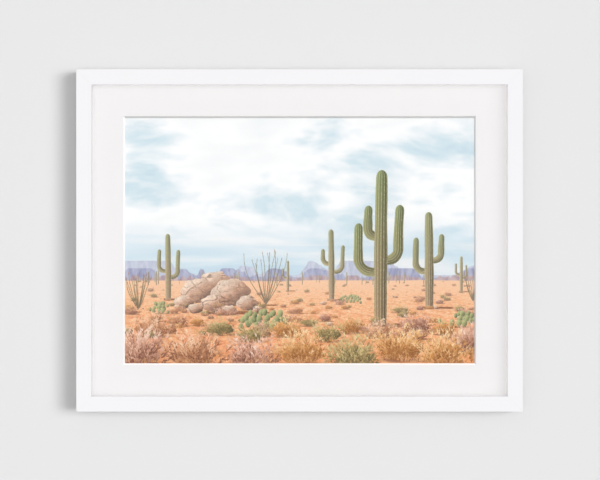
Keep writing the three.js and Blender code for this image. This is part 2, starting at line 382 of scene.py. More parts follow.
def plain_paper():
    """Back and edges of the print's heavy matt paper, warm white and slightly mottled."""
    material, tree = new_material("matt_cotton_paper")
    place = add(tree, "TexCoord", output="Object")
    fibre = add(tree, "TexNoise", {"Vector": place, "Scale": per_mm(1.2), "Detail": 4.0})
    colour = add(tree, "ValToRGB", {"Fac": fibre}, stops=((0.3, "#ece8df"), (0.7, "#f4f1ea")))
    relief = add(tree, "Bump", {"Height": fibre, "Strength": 0.2, "Distance": 0.04 * MM})
    finish = {"Base Color": colour, "Roughness": 0.9, "Normal": relief}
    add(tree, "OutputMaterial", {"Surface": add(tree, "BsdfPrincipled", finish)})
    return material


def foam_core():
    """Paper-faced polystyrene foam board: white, faintly dimpled by the foam's cells."""
    material, tree = new_material("paper_faced_foam_board")
    place = add(tree, "TexCoord", output="Object")
    cells = add(tree, "TexVoronoi", {"Vector": place, "Scale": per_mm(0.8)}, "Distance")
    colour = add(tree, "ValToRGB", {"Fac": cells}, stops=((0.0, "#dddcd6"), (0.6, "#f0efea")))
    relief = add(tree, "Bump", {"Height": cells, "Strength": 0.3, "Distance": 0.1 * MM})
    finish = {"Base Color": colour, "Roughness": 0.8, "Normal": relief}
    add(tree, "OutputMaterial", {"Surface": add(tree, "BsdfPrincipled", finish)})
    return material


def pressed_fibreboard(hardware):
    """Hard-pressed fibreboard: brown and slightly glossy, with pale and dark fibre bundles."""
    material, tree = new_material("pressed_fibreboard")
    place = add(tree, "TexCoord", output="Object")
    # Fibre bundles are 1 to 3 mm long and lie in all directions
    tangle = {"Vector": place, "Scale": per_mm(1.4), "Detail": 6.0, "Roughness": 0.75, "Distortion": 1.2}
    bundles = add(tree, "TexNoise", tangle)
    clouds = add(tree, "TexNoise", {"Vector": place, "Scale": per_mm(60), "Detail": 3.0})
    flecks = add(tree, "TexVoronoi", {"Vector": place, "Scale": per_mm(2.6), "Randomness": 1.0}, "Distance")
    board_tones = ((0.28, "#6f4c2f"), (0.45, "#8f663f"), (0.6, "#a67a4d"), (0.8, "#bd9466"))
    fibre = add(tree, "ValToRGB", {"Fac": bundles}, stops=board_tones)
    near_fleck = {"Value": flecks, "From Min": 0.05, "From Max": 0.16, "To Min": 0.55, "To Max": 0.0}
    fleck_share = add(tree, "MapRange", near_fleck)
    flecked = add(tree, "Mix", {0: fleck_share, MIX_A: fibre, MIX_B: linear("#5d3f28")}, **COLOUR_MIX)
    tone = add(tree, "MapRange", {"Value": clouds, "To Min": 0.86, "To Max": 1.12})
    colour = add(tree, "HueSaturation", {"Value": tone, "Color": flecked})
    relief = add(tree, "Bump", {"Height": bundles, "Strength": 0.3, "Distance": 0.1 * MM})
    finish = {"Base Color": colour, "Roughness": hardware.board_roughness, "Normal": relief}
    add(tree, "OutputMaterial", {"Surface": add(tree, "BsdfPrincipled", finish)})
    return material


def bright_zinc(hardware):
    """Bright zinc plating on stamped steel: a cool grey sheen with fine drawing marks."""
    material, tree = new_material("zinc_plated_steel")
    place = add(tree, "TexCoord", output="Object")
    # The plating's crystals are far under 1 mm: these 1.2 mm clouds stand for them
    bloom = add(tree, "TexNoise", {"Vector": place, "Scale": per_mm(1.2), "Detail": 4.0})
    marks = add(tree, "Mapping", {"Vector": place, "Scale": (per_mm(6), per_mm(6), per_mm(0.3))})
    drawn = add(tree, "TexNoise", {"Vector": marks, "Scale": 1.0, "Detail": 2.0})
    tone = add(tree, "MapRange", {"Value": bloom, "To Min": 0.85, "To Max": 1.1})
    colour = add(tree, "HueSaturation", {"Value": tone, "Color": paint(hardware.zinc_colour)})
    gloss = add(tree, "MapRange", {"Value": bloom, "To Min": 0.26, "To Max": 0.42})
    relief = add(tree, "Bump", {"Height": drawn, "Strength": 0.12, "Distance": 0.03 * MM})
    finish = {"Base Color": colour, "Metallic": 1.0, "Roughness": gloss, "Normal": relief}
    add(tree, "OutputMaterial", {"Surface": add(tree, "BsdfPrincipled", finish)})
    return material


def moulded_rubber(hardware):
    """Moulded rubber: near-black and dull, with a light bloom."""
    material, tree = new_material("moulded_bumper_rubber")
    place = add(tree, "TexCoord", output="Object")
    bloom = add(tree, "TexNoise", {"Vector": place, "Scale": per_mm(1.5), "Detail": 4.0})
    tone = add(tree, "MapRange", {"Value": bloom, "To Min": 0.8, "To Max": 1.3})
    colour = add(tree, "HueSaturation", {"Value": tone, "Color": paint(hardware.rubber_colour)})
    relief = add(tree, "Bump", {"Height": bloom, "Strength": 0.15, "Distance": 0.05 * MM})
    finish = {"Base Color": colour, "Roughness": 0.68, "IOR": 1.52, "Normal": relief}
    add(tree, "OutputMaterial", {"Surface": add(tree, "BsdfPrincipled", finish)})
    return material


def sky_inks(tree, place, height):
    """The sky: wide soft banks of cloud, thinner and flatter towards the horizon."""
    banks = add(tree, "Mapping", {"Vector": place, "Scale": (per_mm(150), 0, per_mm(62))})
    billows = {"Vector": banks, "Scale": 1.0, "Detail": 10.0, "Roughness": 0.6, "Distortion": 0.2}
    cloud = add(tree, "TexNoise", billows)
    tones = ((0.31, "#c4dce8"), (0.39, "#d8e8ef"), (0.45, "#eff5f8"), (0.51, "#ffffff"), (0.7, "#f4f7f8"))
    sky = add(tree, "ValToRGB", {"Fac": cloud}, stops=tones)
    stripes = add(tree, "Mapping", {"Vector": place, "Scale": (per_mm(260), 0, per_mm(17))})
    stripe = add(tree, "TexNoise", {"Vector": stripes, "Scale": 1.0, "Detail": 4.0, "Distortion": 0.2})
    low_tones = ((0.38, "#c5ddeb"), (0.5, "#d5e6ef"), (0.64, "#f1f3f4"))
    low_sky = add(tree, "ValToRGB", {"Fac": stripe}, stops=low_tones)
    fading = {"Value": height, "From Min": 28 * MM, "From Max": 82 * MM, "To Min": 0.85, "To Max": 0.0}
    low_share = add(tree, "MapRange", fading, interpolation_type="SMOOTHSTEP")
    return add(tree, "Mix", {0: low_share, MIX_A: sky, MIX_B: low_sky}, **COLOUR_MIX)


# Ridges, the furthest first: foot above the horizon, rise of its flat tops, their width in mm,
# where its own noise starts, and its light and dark ink
RIDGES = (
    (7 * MM, 17 * MM, 88, 3.7, "#d3d7e4", "#bfc4d8"),
    (4 * MM, 11 * MM, 52, 11.3, "#bcbfd4", "#9c9fbe"),
    (1.5 * MM, 5 * MM, 34, 23.9, "#cdb9ba", "#a8929f"),
)


def hill_inks(tree, place, x, height, colour):
    """Hazy hills over the sky's colour: flat tops, steep sides and gullied faces."""
    for foot, rise, width, start, light, dark in RIDGES:
        along = add(tree, "Math", {0: x, 1: per_mm(width), 2: start}, operation="MULTIPLY_ADD")
        skyline = {"W": along, "Scale": 1.0, "Detail": 5.0, "Roughness": 0.45}
        profile = add(tree, "TexNoise", skyline, noise_dimensions="1D")
        sides = {"Value": profile, "From Min": 0.4, "From Max": 0.58, "To Min": foot, "To Max": foot + rise}
        top = add(tree, "MapRange", sides, interpolation_type="SMOOTHERSTEP")
        below = add(tree, "Math", {0: top, 1: height}, operation="SUBTRACT")
        mask = add(tree, "MapRange", {"Value": below, "From Min": -0.3 * MM, "From Max": 0.5 * MM})
        gullies = add(tree, "Mapping", {"Vector": place, "Scale": (per_mm(5), 0, per_mm(16))})
        folds = add(tree, "TexNoise", {"Vector": gullies, "Scale": 1.0, "Detail": 5.0, "Distortion": 0.8})
        face = add(tree, "ValToRGB", {"Fac": folds}, stops=((0.35, dark), (0.62, light)))
        colour = add(tree, "Mix", {0: mask, MIX_A: colour, MIX_B: face}, **COLOUR_MIX)
    return colour


def plain_inks(tree, x, height, horizon):
    """The plain in perspective: drifts of sand, straw and pebbles, hazy far off and red near by."""
    # Nearness is 0 at the horizon and 1 at the sheet's lower edge. Depth goes as one over it,
    # and the two offsets keep it finite at the horizon and above it.
    nearness = add(tree, "Math", {0: height, 1: -1 / horizon}, operation="MULTIPLY")
    lifted = add(tree, "Math", {0: nearness, 1: 0.07}, operation="ADD")
    lifted = add(tree, "Math", {0: lifted, 1: 0.03}, operation="MAXIMUM")
    depth = add(tree, "Math", {0: 1.0, 1: lifted}, operation="DIVIDE")
    sideways = add(tree, "Math", {0: x, 1: depth}, operation="MULTIPLY")
    sideways = add(tree, "Math", {0: sideways, 1: per_mm(40)}, operation="MULTIPLY")
    away = add(tree, "Math", {0: depth, 1: 5.0}, operation="MULTIPLY")
    plain = add(tree, "CombineXYZ", {"X": sideways, "Y": away})
    wind = {"Vector": plain, "Scale": 1.3, "Detail": 6.0, "Roughness": 0.62, "Distortion": 0.6}
    drifts = add(tree, "TexNoise", wind)
    tufts = add(tree, "TexNoise", {"Vector": plain, "Scale": 6.0, "Detail": 6.0, "Roughness": 0.75})
    grit = add(tree, "TexNoise", {"Vector": plain, "Scale": 30.0, "Detail": 3.0, "Roughness": 0.6})
    tones = ((0.36, "#d88858"), (0.44, "#fbb078"), (0.5, "#ffca98"), (0.57, "#ffe0b8"), (0.68, "#ffb882"))
    sand = add(tree, "ValToRGB", {"Fac": drifts}, stops=tones)
    straw_tones = ((0.38, "#b86e46"), (0.47, "#fbb280"), (0.57, "#ffe6c6"))
    straw = add(tree, "ValToRGB", {"Fac": tufts}, stops=straw_tones)
    ground = add(tree, "Mix", {0: 0.5, MIX_A: sand, MIX_B: straw}, **COLOUR_MIX)
    pebbles = add(tree, "MapRange", {"Value": grit, "From Min": 0.56, "From Max": 0.68, "To Max": 0.28})
    ground = add(tree, "Mix", {0: pebbles, MIX_A: ground, MIX_B: linear("#8a5f45")}, **COLOUR_MIX)
    far_off = {"Value": nearness, "From Max": 0.3, "To Min": 0.7, "To Max": 0.0}
    haze = add(tree, "MapRange", far_off, interpolation_type="SMOOTHSTEP")
    ground = add(tree, "Mix", {0: haze, MIX_A: ground, MIX_B: linear("#fbd3b2")}, **COLOUR_MIX)
    near_by = {"Value": nearness, "From Min": 0.3, "From Max": 0.95, "To Max": 0.5}
    soil = {0: add(tree, "MapRange", near_by), MIX_A: ground, MIX_B: linear("#f8be8c")}
    return add(tree, "Mix", soil, **COLOUR_MIX, blend_type="MULTIPLY")


def printed_landscape(picture):
    """Pigment print on matt paper: a bright sky, hazy flat-topped hills and a dry plain."""
    material, tree = new_material("pigment_print_landscape")
    place = add(tree, "TexCoord", output="Object")
    x = add(tree, "SeparateXYZ", {0: place}, "X")
    z = x.node.outputs["Z"]
    horizon_z = PICTURE_BOTTOM + picture.horizon
    height = add(tree, "Math", {0: z, 1: horizon_z}, operation="SUBTRACT")
    sky = sky_inks(tree, place, height)
    backdrop = hill_inks(tree, place, x, height, sky)
    ground = plain_inks(tree, x, height, picture.horizon)
    # The plain's far edge swells and dips by about 2 mm
    along = add(tree, "Math", {0: x, 1: per_mm(95)}, operation="MULTIPLY")
    swell = add(tree, "TexNoise", {"W": along, "Detail": 3.0, "Scale": 1.0}, noise_dimensions="1D")
    lift = add(tree, "MapRange", {"Value": swell, "To Min": -2.0 * MM, "To Max": 2.4 * MM})
    under = add(tree, "Math", {0: lift, 1: height}, operation="SUBTRACT")
    on_plain = add(tree, "MapRange", {"Value": under, "From Min": -0.4 * MM, "From Max": 0.4 * MM})
    colour = add(tree, "Mix", {0: on_plain, MIX_A: backdrop, MIX_B: ground}, **COLOUR_MIX)
    finish_print(tree, place, colour)
    return material


def finish_print(tree, place, colour):
    """The shared make of the print's inks: pigment that sinks into a toothed matt paper."""
    tooth = add(tree, "TexNoise", {"Vector": place, "Scale": per_mm(0.8), "Detail": 3.0})
    relief = add(tree, "Bump", {"Height": tooth, "Strength": 0.15, "Distance": 0.04 * MM})
    finish = {"Base Color": colour, "Roughness": 0.85, "Specular IOR Level": 0.25, "Normal": relief}
    add(tree, "OutputMaterial", {"Surface": add(tree, "BsdfPrincipled", finish)})


def printed_ink(name, grain_mm, contrast):
    """Pigment whose colour each motif's vertices carry, broken up by a grain of its own."""
    material, tree = new_material(name)
    place = add(tree, "TexCoord", output="Object")
    ink = add(tree, "Attribute", output="Color", attribute_name="ink")
    speckle = {"Vector": place, "Scale": per_mm(grain_mm), "Detail": 5.0, "Roughness": 0.65}
    grain = add(tree, "TexNoise", speckle)
    shading = {"From Min": 0.25, "From Max": 0.75, "To Min": 1 - contrast, "To Max": 1 + contrast}
    tone = add(tree, "MapRange", {"Value": grain, **shading})
    colour = add(tree, "HueSaturation", {"Value": tone, "Color": ink})
    finish_print(tree, place, colour)
    return material


def printed_rock():
    """Pigment for the rocks: the motif's own light and shade, with grains, stains and cracks."""
    material, tree = new_material("pigment_print_rocks")
    place = add(tree, "TexCoord", output="Object")
    ink = add(tree, "Attribute", output="Color", attribute_name="ink")
    grains = add(tree, "TexNoise", {"Vector": place, "Scale": per_mm(1.0), "Detail": 6.0, "Roughness": 0.75})
    stains = add(tree, "TexNoise", {"Vector": place, "Scale": per_mm(9), "Detail": 3.0, "Distortion": 1.0})
    # Cracks wander, part the rock into beds of about 18 by 9 mm, and fade in and out
    wander = add(tree, "TexNoise", {"Vector": place, "Scale": per_mm(8), "Detail": 4.0}, "Color")
    bent = add(tree, "VectorMath", {0: wander, 1: (9 * MM, 0, 9 * MM), 2: place}, operation="MULTIPLY_ADD")
    beds = add(tree, "Mapping", {"Vector": bent, "Scale": (per_mm(18), 0, per_mm(9))})
    cracks = add(tree, "TexVoronoi", {"Vector": beds, "Scale": 1.0}, "Distance", feature="DISTANCE_TO_EDGE")
    at_crack = {"Value": cracks, "From Min": 0.0, "From Max": 0.06, "To Min": 0.75, "To Max": 0.0}
    crack_line = add(tree, "MapRange", at_crack)
    shown = add(tree, "MapRange", {"Value": stains, "From Min": 0.42, "From Max": 0.6})
    crack_share = add(tree, "Math", {0: crack_line, 1: shown}, operation="MULTIPLY")
    level = add(tree, "Math", {0: stains, 1: 0.5, 2: grains}, operation="MULTIPLY_ADD")
    shading = {"Value": level, "From Min": 0.55, "From Max": 0.95, "To Min": 0.66, "To Max": 1.25}
    tone = add(tree, "MapRange", shading)
    grained = add(tree, "HueSaturation", {"Value": tone, "Color": ink})
    colour = add(tree, "Mix", {0: crack_share, MIX_A: grained, MIX_B: linear("#5d3e33")}, **COLOUR_MIX)
    finish_print(tree, place, colour)
    return material


def printed_cactus():
    """Pigment for the columns: pleats that close up towards each side, and rows of spines."""
    material, tree = new_material("pigment_print_columns")
    place = add(tree, "TexCoord", output="Object")
    across = add(tree, "Attribute", output="Fac", attribute_name="across")
    pleats = add(tree, "Attribute", output="Fac", attribute_name="pleats")
    ink = add(tree, "Attribute", output="Color", attribute_name="ink")
    inside = add(tree, "Clamp", {"Value": across, "Min": -0.999, "Max": 0.999})
    angle = add(tree, "Math", {0: inside}, operation="ARCSINE")
    phase = add(tree, "Math", {0: angle, 1: pleats}, operation="MULTIPLY")
    wave = add(tree, "Math", {0: phase}, operation="COSINE")
    mottle = add(tree, "Mapping", {"Vector": place, "Scale": (per_mm(1.1), 0, per_mm(3.4))})
    patches = add(tree, "TexNoise", {"Vector": mottle, "Scale": 1.0, "Detail": 5.0, "Roughness": 0.7})
    # The light falls from the picture's upper left
    turned_away = add(tree, "Math", {0: across, 1: -0.38, 2: 0.5}, operation="MULTIPLY_ADD")
    round_tone = add(tree, "Math", {0: wave, 1: 0.2, 2: turned_away}, operation="MULTIPLY_ADD")
    level = add(tree, "Math", {0: patches, 1: 0.55, 2: round_tone}, operation="MULTIPLY_ADD")
    shading = {"Value": level, "From Min": 0.35, "From Max": 1.25, "To Min": 0.36, "To Max": 1.66}
    tone = add(tree, "MapRange", shading)
    shaded = add(tree, "HueSaturation", {"Value": tone, "Color": ink, "Saturation": 0.95})
    spine_rows = add(tree, "MapRange", {"Value": wave, "From Min": 0.35, "From Max": 0.95})
    specks = add(tree, "TexNoise", {"Vector": place, "Scale": per_mm(0.9), "Detail": 2.0})
    speck = add(tree, "MapRange", {"Value": specks, "From Min": 0.48, "From Max": 0.6})
    spines = add(tree, "Math", {0: spine_rows, 1: speck}, operation="MULTIPLY")
    spines = add(tree, "Math", {0: spines, 1: 0.55}, operation="MULTIPLY")
    colour = add(tree, "Mix", {0: spines, MIX_A: shaded, MIX_B: linear("#dccfae")}, **COLOUR_MIX)
    finish_print(tree, place, colour)
    return material


def front_only(tree, surface):
    """Ends a material that shows from the room alone and leaves the view from behind free."""
    nothing = add(tree, "BsdfTransparent")
    behind = add(tree, "NewGeometry", output="Backfacing")
    one_sided = add(tree, "MixShader", {0: behind, 1: surface, 2: nothing})
    add(tree, "OutputMaterial", {"Surface": one_sided})


def room_paint(stage):
    """Flat wall paint, faintly stippled by the roller."""
    material, tree = new_material("flat_wall_paint")
    place = add(tree, "TexCoord", output="Object")
    roller = add(tree, "TexNoise", {"Vector": place, "Scale": per_mm(3), "Detail": 3.0})
    relief = add(tree, "Bump", {"Height": roller, "Strength": 0.05, "Distance": 0.05 * MM})
    painted = add(tree, "BsdfDiffuse", {"Color": paint(stage.wall_colour), "Normal": relief})
    front_only(tree, painted)
    return material


def painted_gap_shade():
    """Painted shade: near-black paint for the strip of wall behind the frame, standing in for the shadow
    there. The light seal wears it too.
    """
    material, tree = new_material("painted_shade_behind_frame")
    front_only(tree, add(tree, "BsdfDiffuse", {"Color": linear("#3a3a3c")}))
    return material


def floor_paint():
    """Plain pale floor, quite matt."""
    material, tree = new_material("plain_floor")
    surface = add(tree, "BsdfDiffuse", {"Color": linear("#dddcda")})
    add(tree, "OutputMaterial", {"Surface": surface})
    return material


# Sizes and colours that a user would change


class FramedPrintWoodwork(bpy.types.PropertyGroup):
    """The moulding's edges and finish."""

    edge_radius: bpy.props.FloatProperty(
        name="Edge radius",
        description="Radius of the front edges, sanded before spraying",
        default=0.6 * MM,
        unit="LENGTH",
        precision=5,
    )
    mitre_gap: bpy.props.FloatProperty(
        name="Mitre line",
        description="Width of the hairline between two rails",
        default=0.03 * MM,
        unit="LENGTH",
        precision=5,
    )
    lacquer_colour: bpy.props.FloatVectorProperty(
        name="Lacquer",
        description="Colour of the sprayed lacquer",
        subtype="COLOR",
        default=linear("#eeedef")[:3],
    )


class FramedPrintPaper(bpy.types.PropertyGroup):
    """The mat's cut and the colours of its layers."""

    cut_roll: bpy.props.FloatProperty(
        name="Rolled cut edge",
        description="Radius to which the facing is rolled over the bevel's front edge",
        default=0.12 * MM,
        unit="LENGTH",
        precision=5,
    )
    mat_colour: bpy.props.FloatVectorProperty(
        name="Mat facing",
        description="Colour of the mat's facing paper",
        subtype="COLOR",
        default=linear("#f4f2f2")[:3],
    )
    core_colour: bpy.props.FloatVectorProperty(
        name="Mat core",
        description="Colour of the mat's cut core",
        subtype="COLOR",
        default=linear("#f6f5f3")[:3],
    )


class FramedPrintPicture(bpy.types.PropertyGroup):
    """The printed landscape."""

    horizon: bpy.props.FloatProperty(
        name="Horizon",
        description="Height of the horizon above the picture's lower edge",
        default=HORIZON_MM * MM,
        unit="LENGTH",
    )
    seed: bpy.props.IntProperty(name="Seed", description="Start of the random draws", default=7)
    scrub_count: bpy.props.IntProperty(
        name="Shrubs", description="Number of dry shrubs on the plain", default=120
    )
    grass_count: bpy.props.IntProperty(
        name="Grass blades", description="Number of grass blades on the plain", default=15000
    )


class FramedPrintHardware(bpy.types.PropertyGroup):
    """Steel, rubber and board on the back."""

    edge_round: bpy.props.FloatProperty(
        name="Stamped edge",
        description="Radius of stamped steel edges",
        default=0.25 * MM,
        unit="LENGTH",
        precision=5,
    )
    zinc_colour: bpy.props.FloatVectorProperty(
        name="Zinc", description="Colour of the plating", subtype="COLOR", default=linear("#c9ccd0")[:3]
    )
    rubber_colour: bpy.props.FloatVectorProperty(
        name="Rubber", description="Colour of the bumpers", subtype="COLOR", default=linear("#2b2b2d")[:3]
    )
    board_roughness: bpy.props.FloatProperty(
        name="Board roughness", description="Roughness of the pressed face", subtype="FACTOR", default=0.5
    )


class FramedPrintStage(bpy.types.PropertyGroup):
    """Wall, light and camera. Each light's level is its share of the light on what it reaches."""

    wall_colour: bpy.props.FloatVectorProperty(
        name="Wall", description="Colour of the wall", subtype="COLOR", default=linear("#e0e0e0")[:3]
    )
    ambient: bpy.props.FloatProperty(
        name="Room light", description="Brightness of the room in front of the wall", default=0.30
    )
    wall_fill: bpy.props.FloatProperty(
        name="Wall fill", description="Level of the wide light on the wall", default=0.305
    )
    wall_key: bpy.props.FloatProperty(
        name="Wall light",
        description="Level of the light that throws the frame's shadow on the wall",
        default=0.495,
    )
    wall_key_turn: bpy.props.FloatProperty(
        name="Wall light's turn",
        description="Angle of the wall's light from straight on, to the right",
        subtype="ANGLE",
        default=math.radians(42.5),
    )
    wall_key_lift: bpy.props.FloatProperty(
        name="Wall light's height",
        description="Angle of the wall's light above level",
        subtype="ANGLE",
        default=math.radians(3.5),
    )
    rail_key: bpy.props.FloatProperty(
        name="Rail light", description="Level of the wide light on the rails", default=0.81
    )
    paper_key: bpy.props.FloatProperty(
        name="Paper light",
        description="Level of the light from the upper right on the mat and the print",
        default=0.377,
    )
    paper_soft: bpy.props.FloatProperty(
        name="Paper shading",
        description="Level of the paper's soft light, which the right rail shades",
        default=0.14,
    )
    paper_wide: bpy.props.FloatProperty(
        name="Paper's wide light",
        description="Level of the paper's wide light, which every rail shades",
        default=0.25,
    )
    lens: bpy.props.FloatProperty(
        name="Lens", description="Focal length on a 36 mm sensor", unit="CAMERA", default=85.0
    )


# The frame's sides: the outer corner where a rail starts, its run and the way into the picture
SIDES = (
    ("left", Vector((FRAME_LEFT, 0, FRAME_BOTTOM)), Vector((0, 0, 1)), Vector((1, 0, 0))),
    ("top", Vector((FRAME_LEFT, 0, FRAME_TOP)), Vector((1, 0, 0)), Vector((0, 0, -1))),
    ("right", Vector((FRAME_RIGHT, 0, FRAME_TOP)), Vector((0, 0, -1)), Vector((-1, 0, 0))),
    ("bottom", Vector((FRAME_RIGHT, 0, FRAME_BOTTOM)), Vector((-1, 0, 0)), Vector((0, 0, 1))),
)
SIDE_LENGTHS = {"left": FRAME_H, "top": FRAME_W, "right": FRAME_H, "bottom": FRAME_W}

# The lip's back edge and the rail's inner back edge are only eased. A narrow flat between each
# curve and the wide face beside it keeps the curve's shading off that face.
INNER_EASE = 0.2 * MM
SHADING_FLAT = 0.12 * MM


def rail_section(radius):
    """Points round the moulding's section: the distance from its outer face, and Y."""
    ease = INNER_EASE
    flat = SHADING_FLAT
    section = [(0, FRONT_Y + radius + flat)]
    section += arc((radius, FRONT_Y + radius), radius, 180, 270, 8)
    section += [(radius + flat, FRONT_Y), (RAIL_FACE - radius - flat, FRONT_Y)]
    section += arc((RAIL_FACE - radius, FRONT_Y + radius), radius, 270, 360, 8)
    section += [(RAIL_FACE, FRONT_Y + radius + flat), (RAIL_FACE, LIP_BACK_Y - ease - flat)]
    section += arc((RAIL_FACE - ease, LIP_BACK_Y - ease), ease, 0, 90, 3)
    section += [(RAIL_BACK_W, LIP_BACK_Y)]
    section += [(RAIL_BACK_W, BACK_Y - ease - flat)]
    section += arc((RAIL_BACK_W - ease, BACK_Y - ease), ease, 0, 90, 3)
    section += [(RAIL_BACK_W - ease - flat, BACK_Y), (BACK_EDGE_CUT + flat, BACK_Y)]
    section += arc((BACK_EDGE_CUT, BACK_Y - BACK_EDGE_CUT), BACK_EDGE_CUT, 90, 180, 4)
    section += [(0, BACK_Y - BACK_EDGE_CUT - flat)]
    return section


def rail_mesh(start, run, inward, length, section, mitre_gap):
    """A mitred rail, with its grain's run in a UV map and each point's distance from outside.

    Its first material is the sprayed one. The second is bare: the back, the rabbet and the cuts.
    """
    mesh = bmesh.new()
    outside = mesh.verts.layers.float.new("from_outer_face")
    grain = mesh.loops.layers.uv.new("grain")
    trim = mitre_gap / math.sqrt(2)
    rings = []
    for far_end in (False, True):
        ring = []
        for across, y in section:
            along = length - across - trim if far_end else across + trim
            vert = mesh.verts.new(start + run * along + inward * across + Vector((0, y, 0)))
            vert[outside] = across
            ring.append(vert)
        rings.append(ring)
    strips = bridge(mesh, rings)
    perimeter = 0
    for i, face in enumerate(strips):
        a = section[i]
        b = section[(i + 1) % len(section)]
        width = math.dist(a, b)
        bare = min(a[0], b[0]) >= BACK_EDGE_CUT and max(a[1], b[1]) > LIP_BACK_Y + HAIR
        face.material_index = 1 if bare else 0
        for loop, past in zip(face.loops, (0, width, width, 0)):
            run_place = (loop.vert.co - start).dot(run)
            loop[grain].uv = (run_place, perimeter + past)
        perimeter += width
    for ring in rings:
        cap = mesh.faces.new(ring)
        cap.material_index = 1
        for loop in cap.loops:
            loop[grain].uv = ((loop.vert.co - start).dot(inward), loop.vert.co.y)
    return mesh


class FRAMED_PRINT_OT_rails(bpy.types.Operator):
    """Makes the four sprayed rails with bare wood at the back and in the rabbet"""

    bl_idname = "framed_print.rails"
    bl_label = "Rails"

    def execute(self, context):
        woodwork = context.scene.framed_print_woodwork
        materials = [sprayed_lacquer(woodwork), bare_poplar(woodwork)]
        section = rail_section(woodwork.edge_radius)
        for name, start, run, inward in SIDES:
            mesh = rail_mesh(start, run, inward, SIDE_LENGTHS[name], section, woodwork.mitre_gap)
            rail = make_piece(f"sprayed_rail_{name}", mesh, materials, smooth_below=30)
            seat(rail, "frame_wood", f"rail_{name}")
        return {"FINISHED"}


# Steel wedges across each mitre: their places along it from the outer corner, and their size
WEDGE_REACHES = (6.5 * MM, 12 * MM)
WEDGE_LEG = 4.2 * MM
WEDGE_T = 0.45 * MM
WEDGE_DEPTH = 3 * MM
WEDGE_PROUD = 0.06 * MM


def add_wedge(mesh, apex, run, inward):
    """A bent strip with a leg in each of two rails, pressed in almost flush with their backs."""
    outline = [apex]
    outline += [apex + run * WEDGE_LEG, apex + run * WEDGE_LEG + inward * WEDGE_T]
    outline += [apex + (run + inward) * WEDGE_T]
    outline += [apex + inward * WEDGE_LEG + run * WEDGE_T, apex + inward * WEDGE_LEG]
    places = [(p.x, p.z) for p in outline]
    rings = [ring_at(mesh, places, y) for y in (BACK_Y - WEDGE_DEPTH, BACK_Y + WEDGE_PROUD)]
    bridge(mesh, rings)
    for ring in rings:
        mesh.faces.new(ring)


class FRAMED_PRINT_OT_wedges(bpy.types.Operator):
    """Makes the steel wedges that are pressed into the back across each mitre"""

    bl_idname = "framed_print.wedges"
    bl_label = "Mitre wedges"

    def execute(self, context):
        mesh = bmesh.new()
        for _, corner, run, inward in SIDES:
            mitre = (run + inward).normalized()
            for reach in WEDGE_REACHES:
                add_wedge(mesh, corner + mitre * reach, run, inward)
        wedges = make_piece("mitre_wedges", mesh, [bright_zinc(context.scene.framed_print_hardware)])
        seat(wedges, "zinc_steel")
        return {"FINISHED"}


class FRAMED_PRINT_OT_glazing(bpy.types.Operator):
    """Gives the glazing its clear glass"""

    bl_idname = "framed_print.glazing"
    bl_label = "Glazing"

    def execute(self, context):
        dress_solid("glazing", float_glass())
        return {"FINISHED"}


# The mat's window is cut at this slant
BEVEL_DEGREES = 45


class FRAMED_PRINT_OT_window_mat(bpy.types.Operator):
    """Makes the window mat: facing, rolled cut edge, bevel-cut core and backing paper"""

    bl_idname = "framed_print.window_mat"
    bl_label = "Window mat"

    def execute(self, context):
        paper = context.scene.framed_print_paper
        low, high = WINDOW_MAT
        half_h = (high.z - low.z) / 2
        roll = paper.cut_roll
        # The facing is rolled over on an arc that is tangent to it and to the cut
        bevel = high.y - low.y
        start = bevel + roll * math.tan(math.radians(BEVEL_DEGREES / 2))
        profile = [(start + roll, low.y)]
        profile += arc((start, low.y + roll), roll, 270, 270 - BEVEL_DEGREES, 4)
        mesh = bmesh.new()
        facing = [rectangle_ring(mesh, high.x, half_h, low.y)]
        for reach, y in profile:
            facing.append(rectangle_ring(mesh, WINDOW_HALF_W + reach, WINDOW_HALF_H + reach, y))
        cut_end = rectangle_ring(mesh, WINDOW_HALF_W, WINDOW_HALF_H, high.y)
        back_edge = rectangle_ring(mesh, high.x, half_h, high.y)
        bridge(mesh, facing)
        bridge(mesh, [facing[-1], cut_end], material=1)
        bridge(mesh, [cut_end, back_edge])
        bridge(mesh, [back_edge, facing[0]], material=1)
        materials = [mat_facing(paper), mat_core(paper)]
        mat = make_piece("bevelled_window_mat", mesh, materials, smooth_below=20)
        seat(mat, "mat_board", "window_mat")
        light_group("mat_cut").objects.link(mat)
        return {"FINISHED"}


def spread_picture(data):
    """Lays the whole picture over the unit square, for a texture made of the print's inks."""
    layout = data.uv_layers.new(name="OFBake")
    for loop in data.loops:
        place = data.vertices[loop.vertex_index].co
        across = (place.x - SHEET[0].x) / SHEET_W
        layout.data[loop.index].uv = (across, (place.z - SHEET[0].z) / SHEET_H)


# The cut edges of the paper are softened by this much
PAPER_EDGE = 0.05 * MM


class FRAMED_PRINT_OT_print_sheet(bpy.types.Operator):
    """Makes the print's sheet with the sky, the hills and the plain"""

    bl_idname = "framed_print.print_sheet"
    bl_label = "Print sheet"

    def execute(self, context):
        near, far = SHEET[0].y, SHEET[1].y
        profile = ((PAPER_EDGE, near), (0, near + PAPER_EDGE), (0, far - PAPER_EDGE), (PAPER_EDGE, far))
        mesh = bmesh.new()
        rings = [rectangle_ring(mesh, SHEET_W / 2 - inset, SHEET_H / 2 - inset, y) for inset, y in profile]
        bridge(mesh, rings, material=1)
        mesh.faces.new(rings[0])
        mesh.faces.new(rings[-1]).material_index = 1
        materials = [printed_landscape(context.scene.framed_print_picture), plain_paper()]
        sheet = make_piece("landscape_print_sheet", mesh, materials)
        seat(sheet, "print_paper", "print_sheet")
        return {"FINISHED"}


# The picture's motifs. Their places are from the picture's lower middle: X to the right, and up.

# How far in front of the sheet the furthest things' ink lies, and how much more the nearest's
INK_LIFT = 0.06 * MM
INK_NEARER = 0.17 * MM

